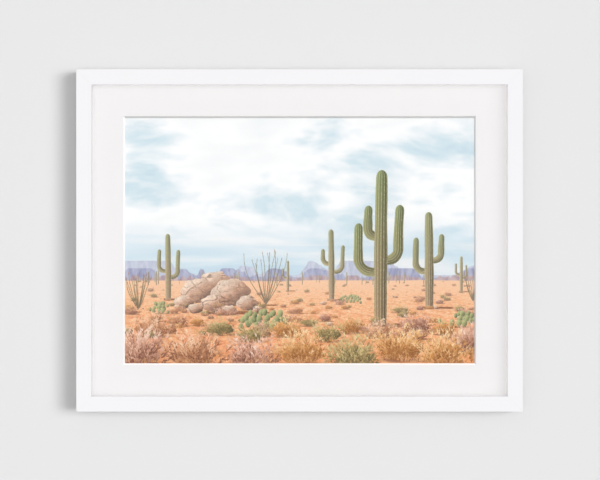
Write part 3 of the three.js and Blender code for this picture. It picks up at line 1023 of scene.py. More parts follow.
# Layers of one thing are a LAYER apart. Its spines, its twigs and its shade lie between them.
LAYER = 0.0012 * MM
SPINE_LIFT = LAYER / 2
TWIG_SPREAD = 0.004 * MM
SHADE_SINK = 0.012 * MM

# What reaches past the sheet is pressed flat at its edge, and faces below this size are dropped
SLIVER = 1e-4 * MM * MM

# A blob's rings, as shares of its size. They lie closer together towards its rim.
BLOB_RINGS = (0.2, 0.38, 0.54, 0.68, 0.8, 0.9, 1.0)

# A full turn in radians, near enough for where a random wave starts
WAVE_STARTS = 6.28

# The colour of the picture's bright air, and how much of it lies over the furthest things
AIR = linear("#eed2be")
FURTHEST_AIR = 0.42


class Motifs:
    """Flat shapes of one kind, printed over the sheet and gathered in one mesh."""

    def __init__(self, picture):
        self.horizon = picture.horizon
        self.mesh = bmesh.new()
        self.ink = self.mesh.verts.layers.float_color.new("ink")
        self.across = self.mesh.verts.layers.float.new("across")
        self.pleats = self.mesh.verts.layers.float.new("pleats")

    def depth_y(self, foot, layer=0):
        """A shape's Y: nearer things lie over further ones, and a thing's layers over each other."""
        nearness = min(1.0, max(0.0, 1 - foot / self.horizon))
        return SHEET[0].y - INK_LIFT - INK_NEARER * nearness - LAYER * layer

    def point(self, x, z, y, colour, across=0.0, pleats=0.0):
        """A corner of a shape, kept on the sheet, with what its ink needs to know."""
        x = min(max(x, SHEET[0].x), SHEET[1].x)
        z = min(max(PICTURE_BOTTOM + z, SHEET[0].z), SHEET[1].z)
        vert = self.mesh.verts.new((x, y, z))
        vert[self.ink] = paint(colour[:3])
        vert[self.across] = across
        vert[self.pleats] = pleats
        return vert

    def blade(self, root, tip, width, root_colour, tip_colour, y):
        """A narrow triangle from its root to its tip."""
        along = Vector((tip[0] - root[0], tip[1] - root[1]))
        if along.length == 0:
            return
        side = Vector((-along.y, along.x)).normalized() * width / 2
        corners = [
            self.point(root[0] - side.x, root[1] - side.y, y, root_colour),
            self.point(root[0] + side.x, root[1] + side.y, y, root_colour),
            self.point(tip[0], tip[1], y, tip_colour),
        ]
        self.mesh.faces.new(corners)

    def ribbon(self, path, half_widths, y, colours, pleats):
        """A round-looking limb along a path, with its place across kept for the pleats."""
        rows = []
        for i, (place, half) in enumerate(zip(path, half_widths)):
            before = Vector(path[max(i - 1, 0)])
            after = Vector(path[min(i + 1, len(path) - 1)])
            along = (after - before).normalized()
            side = Vector((along.y, -along.x))
            row = []
            for across in (-1, 0, 1):
                p = Vector(place) + side * half * across
                row.append(self.point(p.x, p.y, y, colours[i], across, pleats))
            rows.append(row)
        bridge(self.mesh, rows, closed=False)

    def blob(self, centre, half_w, half_h, y, colour_at, lumps, sides=26):
        """A rounded patch whose colours a function of its own unit disc gives."""
        rings = [[self.point(centre[0], centre[1], y, colour_at(0, 0))] * sides]
        for share in BLOB_RINGS:
            ring = []
            for i in range(sides):
                turn = 2 * math.pi * i / sides
                u = share * math.cos(turn)
                v = share * math.sin(turn)
                swell = lumps(turn)
                x = centre[0] + half_w * u * swell
                z = centre[1] + half_h * v * swell
                ring.append(self.point(x, z, y, colour_at(u, v)))
            rings.append(ring)
        bridge(self.mesh, rings)

    def finish(self, name, material):
        """Closes the group: one piece on the sheet, its faces turned to the front."""
        bmesh.ops.triangulate(self.mesh, faces=self.mesh.faces, quad_method="FIXED")
        flat = [face for face in self.mesh.faces if face.calc_area() < SLIVER]
        bmesh.ops.delete(self.mesh, geom=flat, context="FACES")
        turn_to_room(self.mesh)
        data = new_mesh(name, self.mesh, [material])
        spread_picture(data)
        seat(new_object(name, data), "print_paper")


def blend(a, b, share):
    """A colour between two."""
    share = min(1.0, max(0.0, share))
    return tuple(p + (q - p) * share for p, q in zip(a, b))


def hazed(colour, distance):
    """A colour as it looks through the picture's bright air, from 0 near to 1 far."""
    return blend(colour, AIR, FURTHEST_AIR * distance)


def inks_at(distance, *inks):
    """Several hex colours as they look at a distance."""
    return [hazed(linear(ink), distance) for ink in inks]


def far_share(foot, horizon):
    """How far off a thing stands whose foot is at this height: 0 near, 1 at the horizon."""
    return min(1.0, max(0.0, foot / horizon)) ** 3


def uneven(draw, least, most, waves):
    """An outline that swells and shrinks with its turn, by waves of a height between two."""
    swells = [(draw.uniform(least, most), wave, draw.uniform(0, WAVE_STARTS)) for wave in waves]

    def lumps(turn):
        return 1 + sum(height * math.sin(wave * turn + start) for height, wave, start in swells)

    return lumps


# A limb thinner than SPINED_RADIUS shows no spines. Others have a pair every SPINE_STEP or so.
SPINED_RADIUS = 1.2 * MM
SPINE_STEP = 0.55 * MM
SPINE_WIDTH = 0.3 * MM


def column_limb(motifs, draw, path, radius, y, pleats, low, high):
    """One limb: slightly swollen along its path, rounded over at its tip and edged with spines."""
    last = Vector(path[-1])
    along = (last - Vector(path[-2])).normalized()
    places = [Vector(p) for p in path]
    count = len(places) - 1
    halves = [radius * (0.86 + 0.16 * math.sin(math.pi * (i / count) ** 0.8)) for i in range(count + 1)]
    phase = draw.uniform(0, WAVE_STARTS)
    halves = [half * (1 + 0.035 * math.sin(1.1 * i + phase)) for i, half in enumerate(halves)]
    end = halves[-1]
    for step in (15, 30, 45, 58, 70, 80, 87):
        turn = math.radians(step)
        places.append(last + along * end * 1.3 * math.sin(turn))
        halves.append(end * math.cos(turn))
    bottom = places[0].y
    top = max(p.y for p in places)
    colours = [blend(low, high, (p.y - bottom) / max(top - bottom, HAIR)) for p in places]
    motifs.ribbon(places, halves, y, colours, pleats)
    if radius < SPINED_RADIUS:
        return
    spine = blend(high, linear("#f3e7c8"), 0.75)
    for i in range(len(places) - 1):
        start, stop = places[i], places[i + 1]
        ahead = stop - start
        for _ in range(max(1, int(ahead.length / SPINE_STEP))):
            share = draw.random()
            half = halves[i] + (halves[i + 1] - halves[i]) * share
            for side in (-1, 1):
                out = Vector((ahead.y, -ahead.x)).normalized() * side
                root = start + ahead * share + out * half * 0.93
                way = out + ahead.normalized() * draw.uniform(-0.9, 0.9)
                tip = root + way * draw.uniform(0.5, 1.3) * MM
                motifs.blade(root, tip, SPINE_WIDTH, high, spine, y - SPINE_LIFT)


# Pleats round a whole column, of which half is seen
COLUMN_PLEATS = 13.0


def saguaro(motifs, draw, x, foot, height, arms):
    """A tall ribbed cactus: a trunk, and arms that leave it sideways and turn up."""
    low, high = inks_at(far_share(foot, motifs.horizon), "#957a58", "#7f8c58")
    half = height * draw.uniform(0.04, 0.048)
    lean = draw.uniform(-0.012, 0.012) * height
    for layer, (side, at, reach, rise) in enumerate(arms):
        arm_half = half * draw.uniform(0.68, 0.8)
        elbow = reach * height * 0.62
        base_z = foot + at * height
        out = x + side * (reach * height - elbow)
        path = [(x, base_z), (x + side * half * 0.9, base_z), (out, base_z)]
        for i in range(1, 9):
            turn = math.radians(90 * i / 8)
            path.append((out + side * elbow * math.sin(turn), base_z + elbow * (1 - math.cos(turn))))
        sway = draw.uniform(-0.04, 0.04)
        for i in range(1, 7):
            climb = rise * height * i / 6
            path.append((out + side * elbow + sway * climb * i / 6, base_z + elbow + climb))
        y = motifs.depth_y(foot, layer)
        column_limb(motifs, draw, path, arm_half, y, COLUMN_PLEATS, blend(low, high, 0.6), high)
    path = [(x + lean * (i / 14) ** 2, foot + height * i / 14) for i in range(15)]
    column_limb(motifs, draw, path, half, motifs.depth_y(foot, len(arms)), COLUMN_PLEATS, low, high)


# The larger cacti: place, foot, height in mm, and each arm's side, start, reach and rise
SAGUAROS = (
    (96, 45, 176, ((-1, 0.36, 0.15, 0.2), (1, 0.44, 0.12, 0.26), (-1, 0.6, 0.085, 0.12))),
    (154, 66, 108, ((-1, 0.4, 0.15, 0.24), (1, 0.52, 0.13, 0.17))),
    (38, 75, 80, ((1, 0.42, 0.16, 0.26), (-1, 0.54, 0.13, 0.1))),
    (-156, 76, 74, ((-1, 0.45, 0.15, 0.22), (1, 0.36, 0.15, 0.3))),
    (-14, 86, 34, ((-1, 0.45, 0.17, 0.2),)),
    (192, 85, 40, ((-1, 0.5, 0.16, 0.2), (1, 0.42, 0.15, 0.24))),
)
FAR_SAGUAROS = 30


def print_columns(picture, draw):
    """The cacti, from the small ones far off to the tall near one."""
    motifs = Motifs(picture)
    for _ in range(FAR_SAGUAROS):
        x = draw.uniform(-205, 205) * MM
        foot = picture.horizon - draw.uniform(1.5, 7) * MM
        height = draw.uniform(6, 17) * MM
        arms = ((draw.choice((-1, 1)), 0.45, 0.17, 0.2),) if draw.random() < 0.6 else ()
        saguaro(motifs, draw, x, foot, height, arms)
    for x, foot, height, arms in reversed(SAGUAROS):
        saguaro(motifs, draw, x * MM, foot * MM, height * MM, arms)
    motifs.finish("printed_columns", printed_cactus())


# Bushes of canes: place, foot and height in mm. Each has this many canes of this many points,
# which fan out over this many degrees.
CANE_BUSHES = ((-40, 70, 62), (-192, 64, 44), (206, 74, 34))
CANES = 13
CANE_POINTS = 17
CANE_FAN = 76
CANE_HALF_W = 0.42 * MM
THORN_WIDTH = 0.35 * MM
PETAL_WIDTH = 0.6 * MM


def print_whips(picture, draw):
    """Bushes of long thorny canes that spread from one root."""
    motifs = Motifs(picture)
    last = CANE_POINTS - 1
    for x, foot, height in CANE_BUSHES:
        distance = far_share(foot * MM, picture.horizon)
        bark, leaf, flower = inks_at(distance, "#6f5f4c", "#8c9158", "#c8643f")
        for k in range(CANES):
            way = math.radians(-CANE_FAN / 2 + CANE_FAN * (k + draw.uniform(0.2, 0.8)) / CANES)
            length = height * draw.uniform(0.78, 1.05)
            bend = draw.uniform(-0.1, 0.1)
            y = motifs.depth_y(foot * MM, k)
            path = []
            for i in range(CANE_POINTS):
                share = i / last
                lean = way * (1 - 0.35 * share) + bend * math.sin(3 * share)
                out = x + math.sin(lean) * length * share
                path.append((out * MM, (foot + math.cos(lean) * length * share) * MM))
            halves = [CANE_HALF_W * (1 - 0.6 * i / last) for i in range(CANE_POINTS)]
            motifs.ribbon(path, halves, y, [blend(bark, leaf, i / 20) for i in range(CANE_POINTS)], 0)
            y -= SPINE_LIFT
            for _ in range(int(length * 2.2)):
                i = draw.randrange(2, last)
                root = Vector(path[i]).lerp(Vector(path[i + 1]), draw.random())
                turn = draw.uniform(0, 2 * math.pi)
                tip = root + Vector((math.cos(turn), math.sin(turn))) * draw.uniform(0.5, 1.2) * MM
                motifs.blade(root, tip, THORN_WIDTH, bark, blend(leaf, bark, draw.random() * 0.5), y)
            for _ in range(5):
                tip = Vector(path[-1]) + Vector((draw.uniform(-0.5, 0.5), draw.uniform(0.5, 2.6))) * MM
                motifs.blade(path[-1], tip, PETAL_WIDTH, flower, blend(flower, leaf, 0.2), y)
    motifs.finish("printed_whips", printed_ink("pigment_print_canes", 1.5, 0.12))


def boulder(motifs, draw, x, foot, half_w, half_h):
    """A rounded rock, lit from the upper left."""
    dark, middle, light = inks_at(far_share(foot, motifs.horizon), "#5f4137", "#c9997c", "#f7e0cb")
    lumps = uneven(draw, 0.015, 0.06, (2, 3, 4, 6, 9))

    def colour_at(u, v):
        lit = 0.5 - 0.4 * u + 0.5 * v + draw.uniform(-0.12, 0.12)
        if lit < 0.45:
            return blend(dark, middle, lit / 0.45)
        return blend(middle, light, (lit - 0.45) / 0.5)

    centre = (x, foot + half_h * 0.82)
    motifs.blob(centre, half_w, half_h, motifs.depth_y(foot), colour_at, lumps, sides=44)


# The heap's rocks: place, foot, half width and half height in mm
HEAP = (
    (-100, 84, 18, 14),
    (-121, 74, 19, 15),
    (-82, 70, 22, 17),
    (-138, 66, 12, 8),
    (-103, 63, 15, 10),
    (-62, 64, 13, 9),
    (-124, 60, 9, 6),
    (-84, 58, 9, 6),
    (-50, 61, 6, 4),
)
LOOSE_STONES = 26


def print_boulders(picture, draw):
    """A heap of rocks left of the middle, and stones that lie apart."""
    motifs = Motifs(picture)
    for x, foot, half_w, half_h in HEAP:
        boulder(motifs, draw, x * MM, foot * MM, half_w * MM, half_h * MM)
    stones = [(draw.uniform(24, 90), draw.uniform(-205, 205)) for _ in range(LOOSE_STONES)]
    for foot, x in sorted(stones, reverse=True):
        size = (0.7 + 4.5 * (1 - foot / HORIZON_MM)) * draw.uniform(0.5, 1.3)
        boulder(motifs, draw, x * MM, foot * MM, size * 1.4 * MM, size * 0.85 * MM)
    motifs.finish("printed_boulders", printed_rock())


def prickly_pear(motifs, draw, x, foot, size):
    """Flat oval pads that grow from one another's rims."""
    light, dark, rim = inks_at(far_share(foot, motifs.horizon), "#c3c78c", "#55603a", "#ddcd9c")
    pads = []

    def pad(root, lean, length, generation):
        centre = (root[0] + math.sin(lean) * length * 0.48, root[1] + math.cos(lean) * length * 0.48)
        shade = draw.uniform(0.0, 0.35)

        def colour_at(u, v):
            if u * u + v * v > 0.9:
                return blend(dark, rim, 0.6)
            return blend(dark, light, 0.65 - shade - 0.45 * u + 0.4 * v + draw.uniform(-0.14, 0.14))

        def lumps(turn):
            return 1 + 0.04 * math.sin(2 * turn + lean)

        pads.append(centre)
        y = motifs.depth_y(foot, 0.5 * len(pads))
        motifs.blob(centre, length * 0.37, length * 0.52, y, colour_at, lumps, sides=20)
        if generation == 0:
            return
        for turn in (-0.75, 0.0, 0.75):
            if draw.random() < 0.78:
                way = lean + turn + draw.uniform(-0.25, 0.25)
                tip = (root[0] + math.sin(way) * length * 0.85, root[1] + math.cos(way) * length * 0.85)
                pad(tip, way, length * draw.uniform(0.72, 0.92), generation - 1)

    for offset in (-0.5, 0.1, 0.55):
        pad((x + offset * size, foot), offset * 0.8, size * 0.8, 2)


# Prickly pears: place, foot and size in mm
PRICKLY_PEARS = ((60, 72, 6), (-168, 60, 8), (188, 44, 11), (-42, 40, 14))


def print_pads(picture, draw):
    """Prickly pears between the rocks and at the front."""
    motifs = Motifs(picture)
    for x, foot, size in PRICKLY_PEARS:
        prickly_pear(motifs, draw, x * MM, foot * MM, size * MM)
    motifs.finish("printed_pads", printed_ink("pigment_print_pads", 1.3, 0.14))


# Shrubs come in four tones, each with its inside, its body and its sunlit tips
SHRUB_INKS = (
    ("#7a4a36", "#dea283", "#ffe5d0"),
    ("#844f33", "#e6a677", "#ffe7c8"),
    ("#945a28", "#eaa962", "#ffe6b6"),
    ("#625632", "#c0a468", "#f5e2ac"),
)

# Twigs stand in sprays of this many from one fork, and a spray has one tone
SPRAY = 4


def shrub(motifs, draw, x, foot, half_w, height, twigs):
    """A dry dome of twigs in clumps: dark inside and below, pale where the light falls."""
    distance = far_share(foot, motifs.horizon)
    heart, body, tip = inks_at(distance, *draw.choice(SHRUB_INKS))
    soil, dim_soil = inks_at(distance, "#efb17e", "#98664a")
    lumps = uneven(draw, 0.03, 0.1, (2, 3, 5, 8))

    def dim_at(u, v):
        return blend(dim_soil, soil, (u * u + v * v) ** 2)

    def shade_at(u, v):
        return blend(heart, body, 0.35 - 0.3 * u + 0.4 * v + draw.uniform(-0.3, 0.3))

    def ink_at(lit):
        return blend(heart, body, lit * 2) if lit < 0.5 else blend(body, tip, lit * 2 - 1)

    # Shaded soil lies under its twigs, and a dark patch fills its middle
    y = motifs.depth_y(foot)
    shaded = (x + 0.12 * half_w, foot)
    motifs.blob(shaded, half_w * 0.95, height * 0.1, y + TWIG_SPREAD, dim_at, lumps)
    motifs.blob((x, foot + height * 0.34), half_w * 0.62, height * 0.34, y, shade_at, lumps)
    clumps = []
    for k in range(5 + int(half_w / (5 * MM))):
        way = draw.uniform(-1.35, 1.35)
        out = draw.uniform(0.25, 0.75)
        middle = (x + half_w * out * math.sin(way), foot + height * (0.16 + 0.86 * out * math.cos(way)))
        size = draw.uniform(0.24, 0.46)
        clumps.append((middle, size, draw.uniform(-0.12, 0.12), motifs.depth_y(foot, k + 1)))
    for i in range(twigs // SPRAY):
        (middle_x, middle_z), size, clump_lit, y = clumps[i % len(clumps)]
        turn = draw.uniform(0, 2 * math.pi)
        reach = draw.random() ** 0.6 * 1.1
        fork_x = middle_x + half_w * size * reach * math.cos(turn)
        fork_z = max(foot, middle_z + height * size * reach * math.sin(turn))
        way = math.atan2(fork_x - x, fork_z - foot + 0.3 * height) + draw.uniform(-0.5, 0.5)
        rise = (fork_z - foot) / height - 0.5
        lit = 0.46 + clump_lit + reach * (0.3 * math.sin(turn) - 0.26 * math.cos(turn)) + 0.4 * rise
        lit += draw.uniform(-0.26, 0.26)
        for _ in range(SPRAY):
            lean = way + draw.uniform(-0.6, 0.6)
            length = height * draw.uniform(0.07, 0.2)
            end = (fork_x + math.sin(lean) * length, fork_z + math.cos(lean) * length)
            width = max(0.28 * MM, height * draw.uniform(0.013, 0.026))
            twig_y = y - draw.uniform(0, TWIG_SPREAD)
            motifs.blade((fork_x, fork_z), end, width, ink_at(lit - 0.22), ink_at(lit + 0.16), twig_y)


# Shrubs with a place of their own: place, foot, half width and height in mm
SHRUBS = (
    (-192, -8, 42, 50),
    (-126, -4, 42, 40),
    (-58, -12, 38, 42),
    (4, -2, 40, 38),
    (66, -10, 38, 42),
    (120, 4, 42, 38),
    (172, -6, 38, 42),
    (208, 14, 28, 38),
    (-16, 32, 26, 24),
    (138, 38, 26, 22),
    (-178, 32, 28, 26),
    (62, 36, 22, 20),
    (-94, 34, 26, 20),
    (198, 52, 17, 15),
    (-146, 44, 18, 15),
    (-58, 26, 22, 20),
    (96, 30, 22, 20),
    (34, 26, 24, 22),
    (172, 34, 20, 18),
    (-206, 60, 18, 13),
    (120, 60, 14, 9),
)


def print_scrub(picture, draw):
    """Shrubs: wide ones at the front, and ever smaller ones towards the horizon."""
    motifs = Motifs(picture)
    places = list(SHRUBS)
    for x, foot, height, _ in SAGUAROS:
        places.append((x + draw.uniform(-3, 3), foot - 1.5, height * 0.075, height * 0.045))
    for _ in range(picture.scrub_count):
        foot = picture.horizon / MM * (1 - draw.random() ** 1.6 * 0.7) - 1
        size = (2.0 + 12 * (1 - foot * MM / picture.horizon)) * draw.uniform(0.55, 1.25)
        places.append((draw.uniform(-208, 208), foot, size * 1.3, size * 1.1))
    for x, foot, half_w, height in sorted(places, key=lambda place: -place[1]):
        twigs = int(30 + 26 * half_w + 16 * height)
        shrub(motifs, draw, x * MM, foot * MM, half_w * MM, height * MM, twigs)
    motifs.finish("printed_scrub", printed_ink("pigment_print_twigs", 1.6, 0.16))


def print_grass(picture, draw):
    """Dry grass in tufts, longer and sparser towards the front."""
    motifs = Motifs(picture)
    pale = linear("#ffe2b6")
    gold = linear("#eca764")
    shade = linear("#ae6a3e")
    blades = 0
    while blades < picture.grass_count:
        nearness = draw.random() ** 0.8
        foot = picture.horizon * (1 - nearness) - 4 * MM
        distance = far_share(foot, picture.horizon)
        x = draw.uniform(-210, 210) * MM
        length = (0.9 + 8.5 * nearness) * MM
        width = max(0.2 * MM, length * 0.045)
        y = motifs.depth_y(foot)
        tone = draw.random()
        low = hazed(blend(shade, gold, tone), distance)
        for _ in range(draw.randint(7, 15)):
            lean = draw.gauss(0, 0.42)
            root = (x + draw.gauss(0, 0.3) * length, foot + draw.uniform(0, 0.15) * length)
            reach = length * draw.uniform(0.5, 1.25)
            tip = (root[0] + math.sin(lean) * reach, root[1] + math.cos(lean) * reach)
            high = hazed(blend(gold, pale, draw.random()), distance)
            motifs.blade(root, tip, width, low, high, y - draw.uniform(0, TWIG_SPREAD))
            blades += 1
    motifs.finish("printed_grass", printed_ink("pigment_print_grass", 3.0, 0.14))


# What throws a shadow besides the larger cacti: its place, its foot and the shadow's length in mm
SHADOWS = ((-100, 60, 52), (-52, 60, 22), (-42, 39, 24), (188, 43, 18), (-168, 59, 14), (-40, 69, 16))


def print_shade(picture, draw):
    """Shadows that the light from the upper left lays to the right of what stands up."""
    motifs = Motifs(picture)
    casters = [(x, foot, height * 0.3) for x, foot, height, _ in SAGUAROS]
    for x, foot, reach in [*casters, *SHADOWS]:
        dark, soft = inks_at(far_share(foot * MM, picture.horizon), "#87583e", "#c48e64")
        y = motifs.depth_y(foot * MM) + SHADE_SINK
        for _ in range(int(30 + reach * 5)):
            share = draw.random()
            root = ((x - 0.25 * reach + share * reach) * MM, (foot + draw.gauss(0, 0.022) * reach) * MM)
            length = draw.uniform(0.06, 0.3) * reach * MM
            rise = draw.gauss(0, 0.01) * reach * MM
            tip = (root[0] + length, root[1] + rise)
            width = draw.uniform(0.3, 0.9) * MM
            motifs.blade(root, tip, width, blend(dark, soft, share), soft, y)
    motifs.finish("printed_shade", printed_ink("pigment_print_shade", 2.0, 0.1))


MOTIFS = (print_columns, print_whips, print_boulders, print_pads, print_scrub, print_grass, print_shade)


class FRAMED_PRINT_OT_motifs(bpy.types.Operator):
    """Prints the rocks, cacti, shrubs and grass over the sheet"""

    bl_idname = "framed_print.motifs"
    bl_label = "Printed motifs"

    def execute(self, context):
        picture = context.scene.framed_print_picture
        for k, print_kind in enumerate(MOTIFS):
            print_kind(picture, random.Random(picture.seed + k))
        return {"FINISHED"}


# How far the edges of the boards and of the hanger are eased
BOARD_EASE = 0.3 * MM
HANGER_EASE = 0.12 * MM

# On the hardware, edges that bend by more than this many degrees count as sharp
SHARP_BEND = 35


class FRAMED_PRINT_OT_boards(bpy.types.Operator):
    """Gives the foam filler and the back board their materials, and eases their edges"""

    bl_idname = "framed_print.boards"
    bl_label = "Filler and back board"

    def execute(self, context):
        hardware = context.scene.framed_print_hardware
        dress_solid("foam_filler", foam_core(), ease=BOARD_EASE)
        dress_solid("back_board", pressed_fibreboard(hardware), ease=BOARD_EASE)
        return {"FINISHED"}


# Turn buttons, each with the side whose rail holds it. At rest its free end points inward.
BUTTONS = {
    "left_lower": "left",
    "left_upper": "left",
    "top_left": "top",
    "top_right": "top",
    "right_upper": "right",
    "right_lower": "right",
    "bottom_right": "bottom",
    "bottom_left": "bottom",
}
INWARD = {name: inward for name, _, _, inward in SIDES}
BUTTON_HOLE_R = 1.7 * MM

# A button's back is slightly domed: its edge lies this much lower than its flat middle, which
# starts this far in
BUTTON_CROWN = 0.12 * MM
BUTTON_CROWN_INSET = 1.2 * MM
BUTTON_END_STEPS = 20


def button_mesh(low, high, inward, edge_round):
    """A stamped bar with round ends, a hole in its fixed end and rolled edges."""
    across = high - low
    radius = min(across.x, across.z) / 2
    reach = max(across.x, across.z) - 2 * radius
    middle = (low + high) / 2
    pivot = Vector((middle.x, 0, middle.z)) - inward * reach / 2
    side = Vector((-inward.z, 0, inward.x))
    # Each point of the outline: how far along the bar its round end's centre is, and its turn
    turns = [180 * i / BUTTON_END_STEPS for i in range(BUTTON_END_STEPS + 1)]
    ends = [(0, math.radians(90 + turn)) for turn in turns]
    ends += [(reach, math.radians(-90 + turn)) for turn in turns]
    mesh = bmesh.new()

    def place(u, v):
        p = pivot + inward * u + side * v
        return (p.x, p.z)

    def outline(inset, y):
        shrunk = radius - inset
        return ring_at(mesh, [place(s + shrunk * math.cos(t), shrunk * math.sin(t)) for s, t in ends], y)

    def hole(size, y):
        ways = [math.atan2(radius * math.sin(t), s + radius * math.cos(t)) for s, t in ends]
        return ring_at(mesh, [place(size * math.cos(w), size * math.sin(w)) for w in ways], y)

    steps = [math.radians(degrees) for degrees in (0, 30, 60, 90)]
    rolled = [(edge_round * (1 - math.sin(t)), edge_round * (1 - math.cos(t))) for t in steps]
    near = low.y
    far = high.y
    rings = [hole(BUTTON_HOLE_R, near + edge_round), hole(BUTTON_HOLE_R + edge_round, near)]
    rings += [outline(inset, near + rise) for inset, rise in rolled]
    rings += [outline(inset, far - BUTTON_CROWN - rise) for inset, rise in reversed(rolled)]
    rings.append(outline(BUTTON_CROWN_INSET, far))
    rings += [hole(BUTTON_HOLE_R + edge_round, far), hole(BUTTON_HOLE_R, far - edge_round)]
    rings.append(rings[0])
    bridge(mesh, rings)
    return mesh


class FRAMED_PRINT_OT_turn_buttons(bpy.types.Operator):
    """Makes the eight turn buttons, each riding on a body of its own"""

    bl_idname = "framed_print.turn_buttons"
    bl_label = "Turn buttons"

    def execute(self, context):
        hardware = context.scene.framed_print_hardware
        steel = bright_zinc(hardware)
        for name, side in BUTTONS.items():
            low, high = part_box(f"turn_button_{name}")
            mesh = button_mesh(low, high, INWARD[side], hardware.edge_round)
            button = make_piece(f"stamped_button_{name}", mesh, [steel], smooth_below=40)
            seat(button, "zinc_steel", f"turn_button_{name}", body=f"button_{name}")
        return {"FINISHED"}


# The cross recess in a screw's head: its mouth and its floor, each with its height over the
# head's top, the reach of its arms and half their width
RECESS = ((0.2 * MM, 1.75 * MM, 0.42 * MM), (-1.0 * MM, 0.75 * MM, 0.24 * MM))


def cross_recess(centre, top, turn):
    """The tapered cross that a screwdriver's tip presses into a screw's head."""
    mesh = bmesh.new()
    rings = []
    for height, reach, half in RECESS:
        places = []
        for quarter in range(4):
            way = turn + quarter * math.pi / 2
            along = Vector((math.cos(way), math.sin(way)))
            left = Vector((-along.y, along.x))
            for u, v in ((half, -half), (reach, -half), (reach, half)):
                p = along * u + left * v
                places.append((centre[0] + p.x, centre[1] + p.y))
        rings.append(ring_at(mesh, places, top + height))
    bridge(mesh, rings)
    for ring in rings:
        mesh.faces.new(ring)
    return make_piece("recess_cutter", mesh, [])


def cut_away(piece, cutter):
    """Takes the cutter's volume out of a piece and removes the cutter."""
    boolean = piece.modifiers.new("recess", "BOOLEAN")
    boolean.operation = "DIFFERENCE"
    boolean.solver = "EXACT"
    boolean.object = cutter
    cut = bpy.data.meshes.new_from_object(piece.evaluated_get(bpy.context.evaluated_depsgraph_get()))
    piece.modifiers.clear()
    piece.data = cut
    bpy.data.objects.remove(cutter)
    shade_smooth(cut, SHARP_BEND)


# The screws' heads and shanks, and where the random turns of their recesses start
SCREW_HEAD_T = 1.5 * MM
SCREW_CROWN_R = 1.0 * MM
SCREW_SHANK_R = 1.4 * MM
SCREW_SEED = 31


class FRAMED_PRINT_OT_screws(bpy.types.Operator):
    """Makes the pan-head screws that the turn buttons turn on"""

    bl_idname = "framed_print.screws"
    bl_label = "Button screws"

    def execute(self, context):
        steel = bright_zinc(context.scene.framed_print_hardware)
        draw = random.Random(SCREW_SEED)
        edge = 0.1 * MM
        for name in BUTTONS:
            centre, head_r, tip, top = round_solid(f"button_screw_{name}")
            under = top - SCREW_HEAD_T
            profile = [(0, tip), (SCREW_SHANK_R, tip + 2 * SCREW_SHANK_R), (SCREW_SHANK_R, under)]
            profile += [(head_r - edge, under), (head_r, under + edge)]
            profile += arc((head_r - SCREW_CROWN_R, top - SCREW_CROWN_R), SCREW_CROWN_R, 0, 80, 7)
            profile += [(0.9 * MM, top), (0, top)]
            mesh = turned(profile, centre)
            screw = make_piece(f"pan_head_screw_{name}", mesh, [steel], smooth_below=SHARP_BEND)
            cut_away(screw, cross_recess(centre, top, draw.uniform(0, math.pi / 2)))
            seat(screw, "zinc_steel", f"button_screw_{name}")
        return {"FINISHED"}


# The nails' heads and shanks, and the points of a head's rounded edge: in from it, and down
NAIL_HEAD_T = 0.6 * MM
NAIL_SHANK_R = 0.7 * MM
NAIL_ROUND = ((0, 0.35 * MM), (0.12 * MM, 0.17 * MM), (0.5 * MM, 0.03 * MM))


class FRAMED_PRINT_OT_hanger(bpy.types.Operator):
    """Gives the sawtooth hanger its steel and rolled edges, and makes its two nails"""

    bl_idname = "framed_print.hanger"
    bl_label = "Sawtooth hanger"

    def execute(self, context):
        steel = bright_zinc(context.scene.framed_print_hardware)
        dress_solid("sawtooth_hanger", steel, ease=HANGER_EASE, bend=SHARP_BEND)
        edge = 0.08 * MM
        for end in ("left", "right"):
            centre, head_r, tip, top = round_solid(f"hanger_nail_{end}")
            under = top - NAIL_HEAD_T
            profile = [(0, tip), (NAIL_SHANK_R, tip + 2 * NAIL_SHANK_R), (NAIL_SHANK_R, under)]
            profile += [(head_r - edge, under), (head_r, under + edge)]
            profile += [(head_r - inset, top - drop) for inset, drop in NAIL_ROUND]
            profile += [(0.5 * MM, top), (0, top)]
            mesh = turned(profile, centre, sides=28)
            nail = make_piece(f"round_nail_{end}", mesh, [steel], smooth_below=SHARP_BEND)
            seat(nail, "zinc_steel", f"hanger_nail_{end}")
        return {"FINISHED"}


# The bumpers: a straight foot, a dome with a rounded top edge and a shallow dimple in its middle
BUMPER_FOOT_H = 1.6 * MM
BUMPER_TAPER = 0.7 * MM
BUMPER_ROUND = 0.5 * MM
BUMPER_DIMPLE_R = 1.6 * MM
BUMPER_DIMPLE = 0.25 * MM


class FRAMED_PRINT_OT_bumpers(bpy.types.Operator):
    """Makes the four rubber bumpers"""

    bl_idname = "framed_print.bumpers"
    bl_label = "Bumpers"

    def execute(self, context):
        rubber = moulded_rubber(context.scene.framed_print_hardware)
        for corner in ("top_left", "top_right", "bottom_right", "bottom_left"):
            centre, foot_r, base, top = round_solid(f"bumper_{corner}")
            top_r = foot_r - BUMPER_TAPER
            dimple_y = top - BUMPER_DIMPLE
            profile = [(0, base), (foot_r - 0.1 * MM, base), (foot_r, base + 0.1 * MM)]
            profile += [(foot_r, base + BUMPER_FOOT_H), (foot_r - 0.15 * MM, base + 1.9 * MM)]
            profile += arc((top_r - BUMPER_ROUND, top - BUMPER_ROUND), BUMPER_ROUND, 10, 90, 6)
            profile += [(BUMPER_DIMPLE_R, top), (BUMPER_DIMPLE_R - 0.3 * MM, dimple_y), (0, dimple_y)]
            mesh = turned(profile, centre)
            bumper = make_piece(f"rubber_bumper_{corner}", mesh, [rubber], smooth_below=SHARP_BEND)
            seat(bumper, "bumper_rubber", f"bumper_{corner}")
        return {"FINISHED"}


# The stage


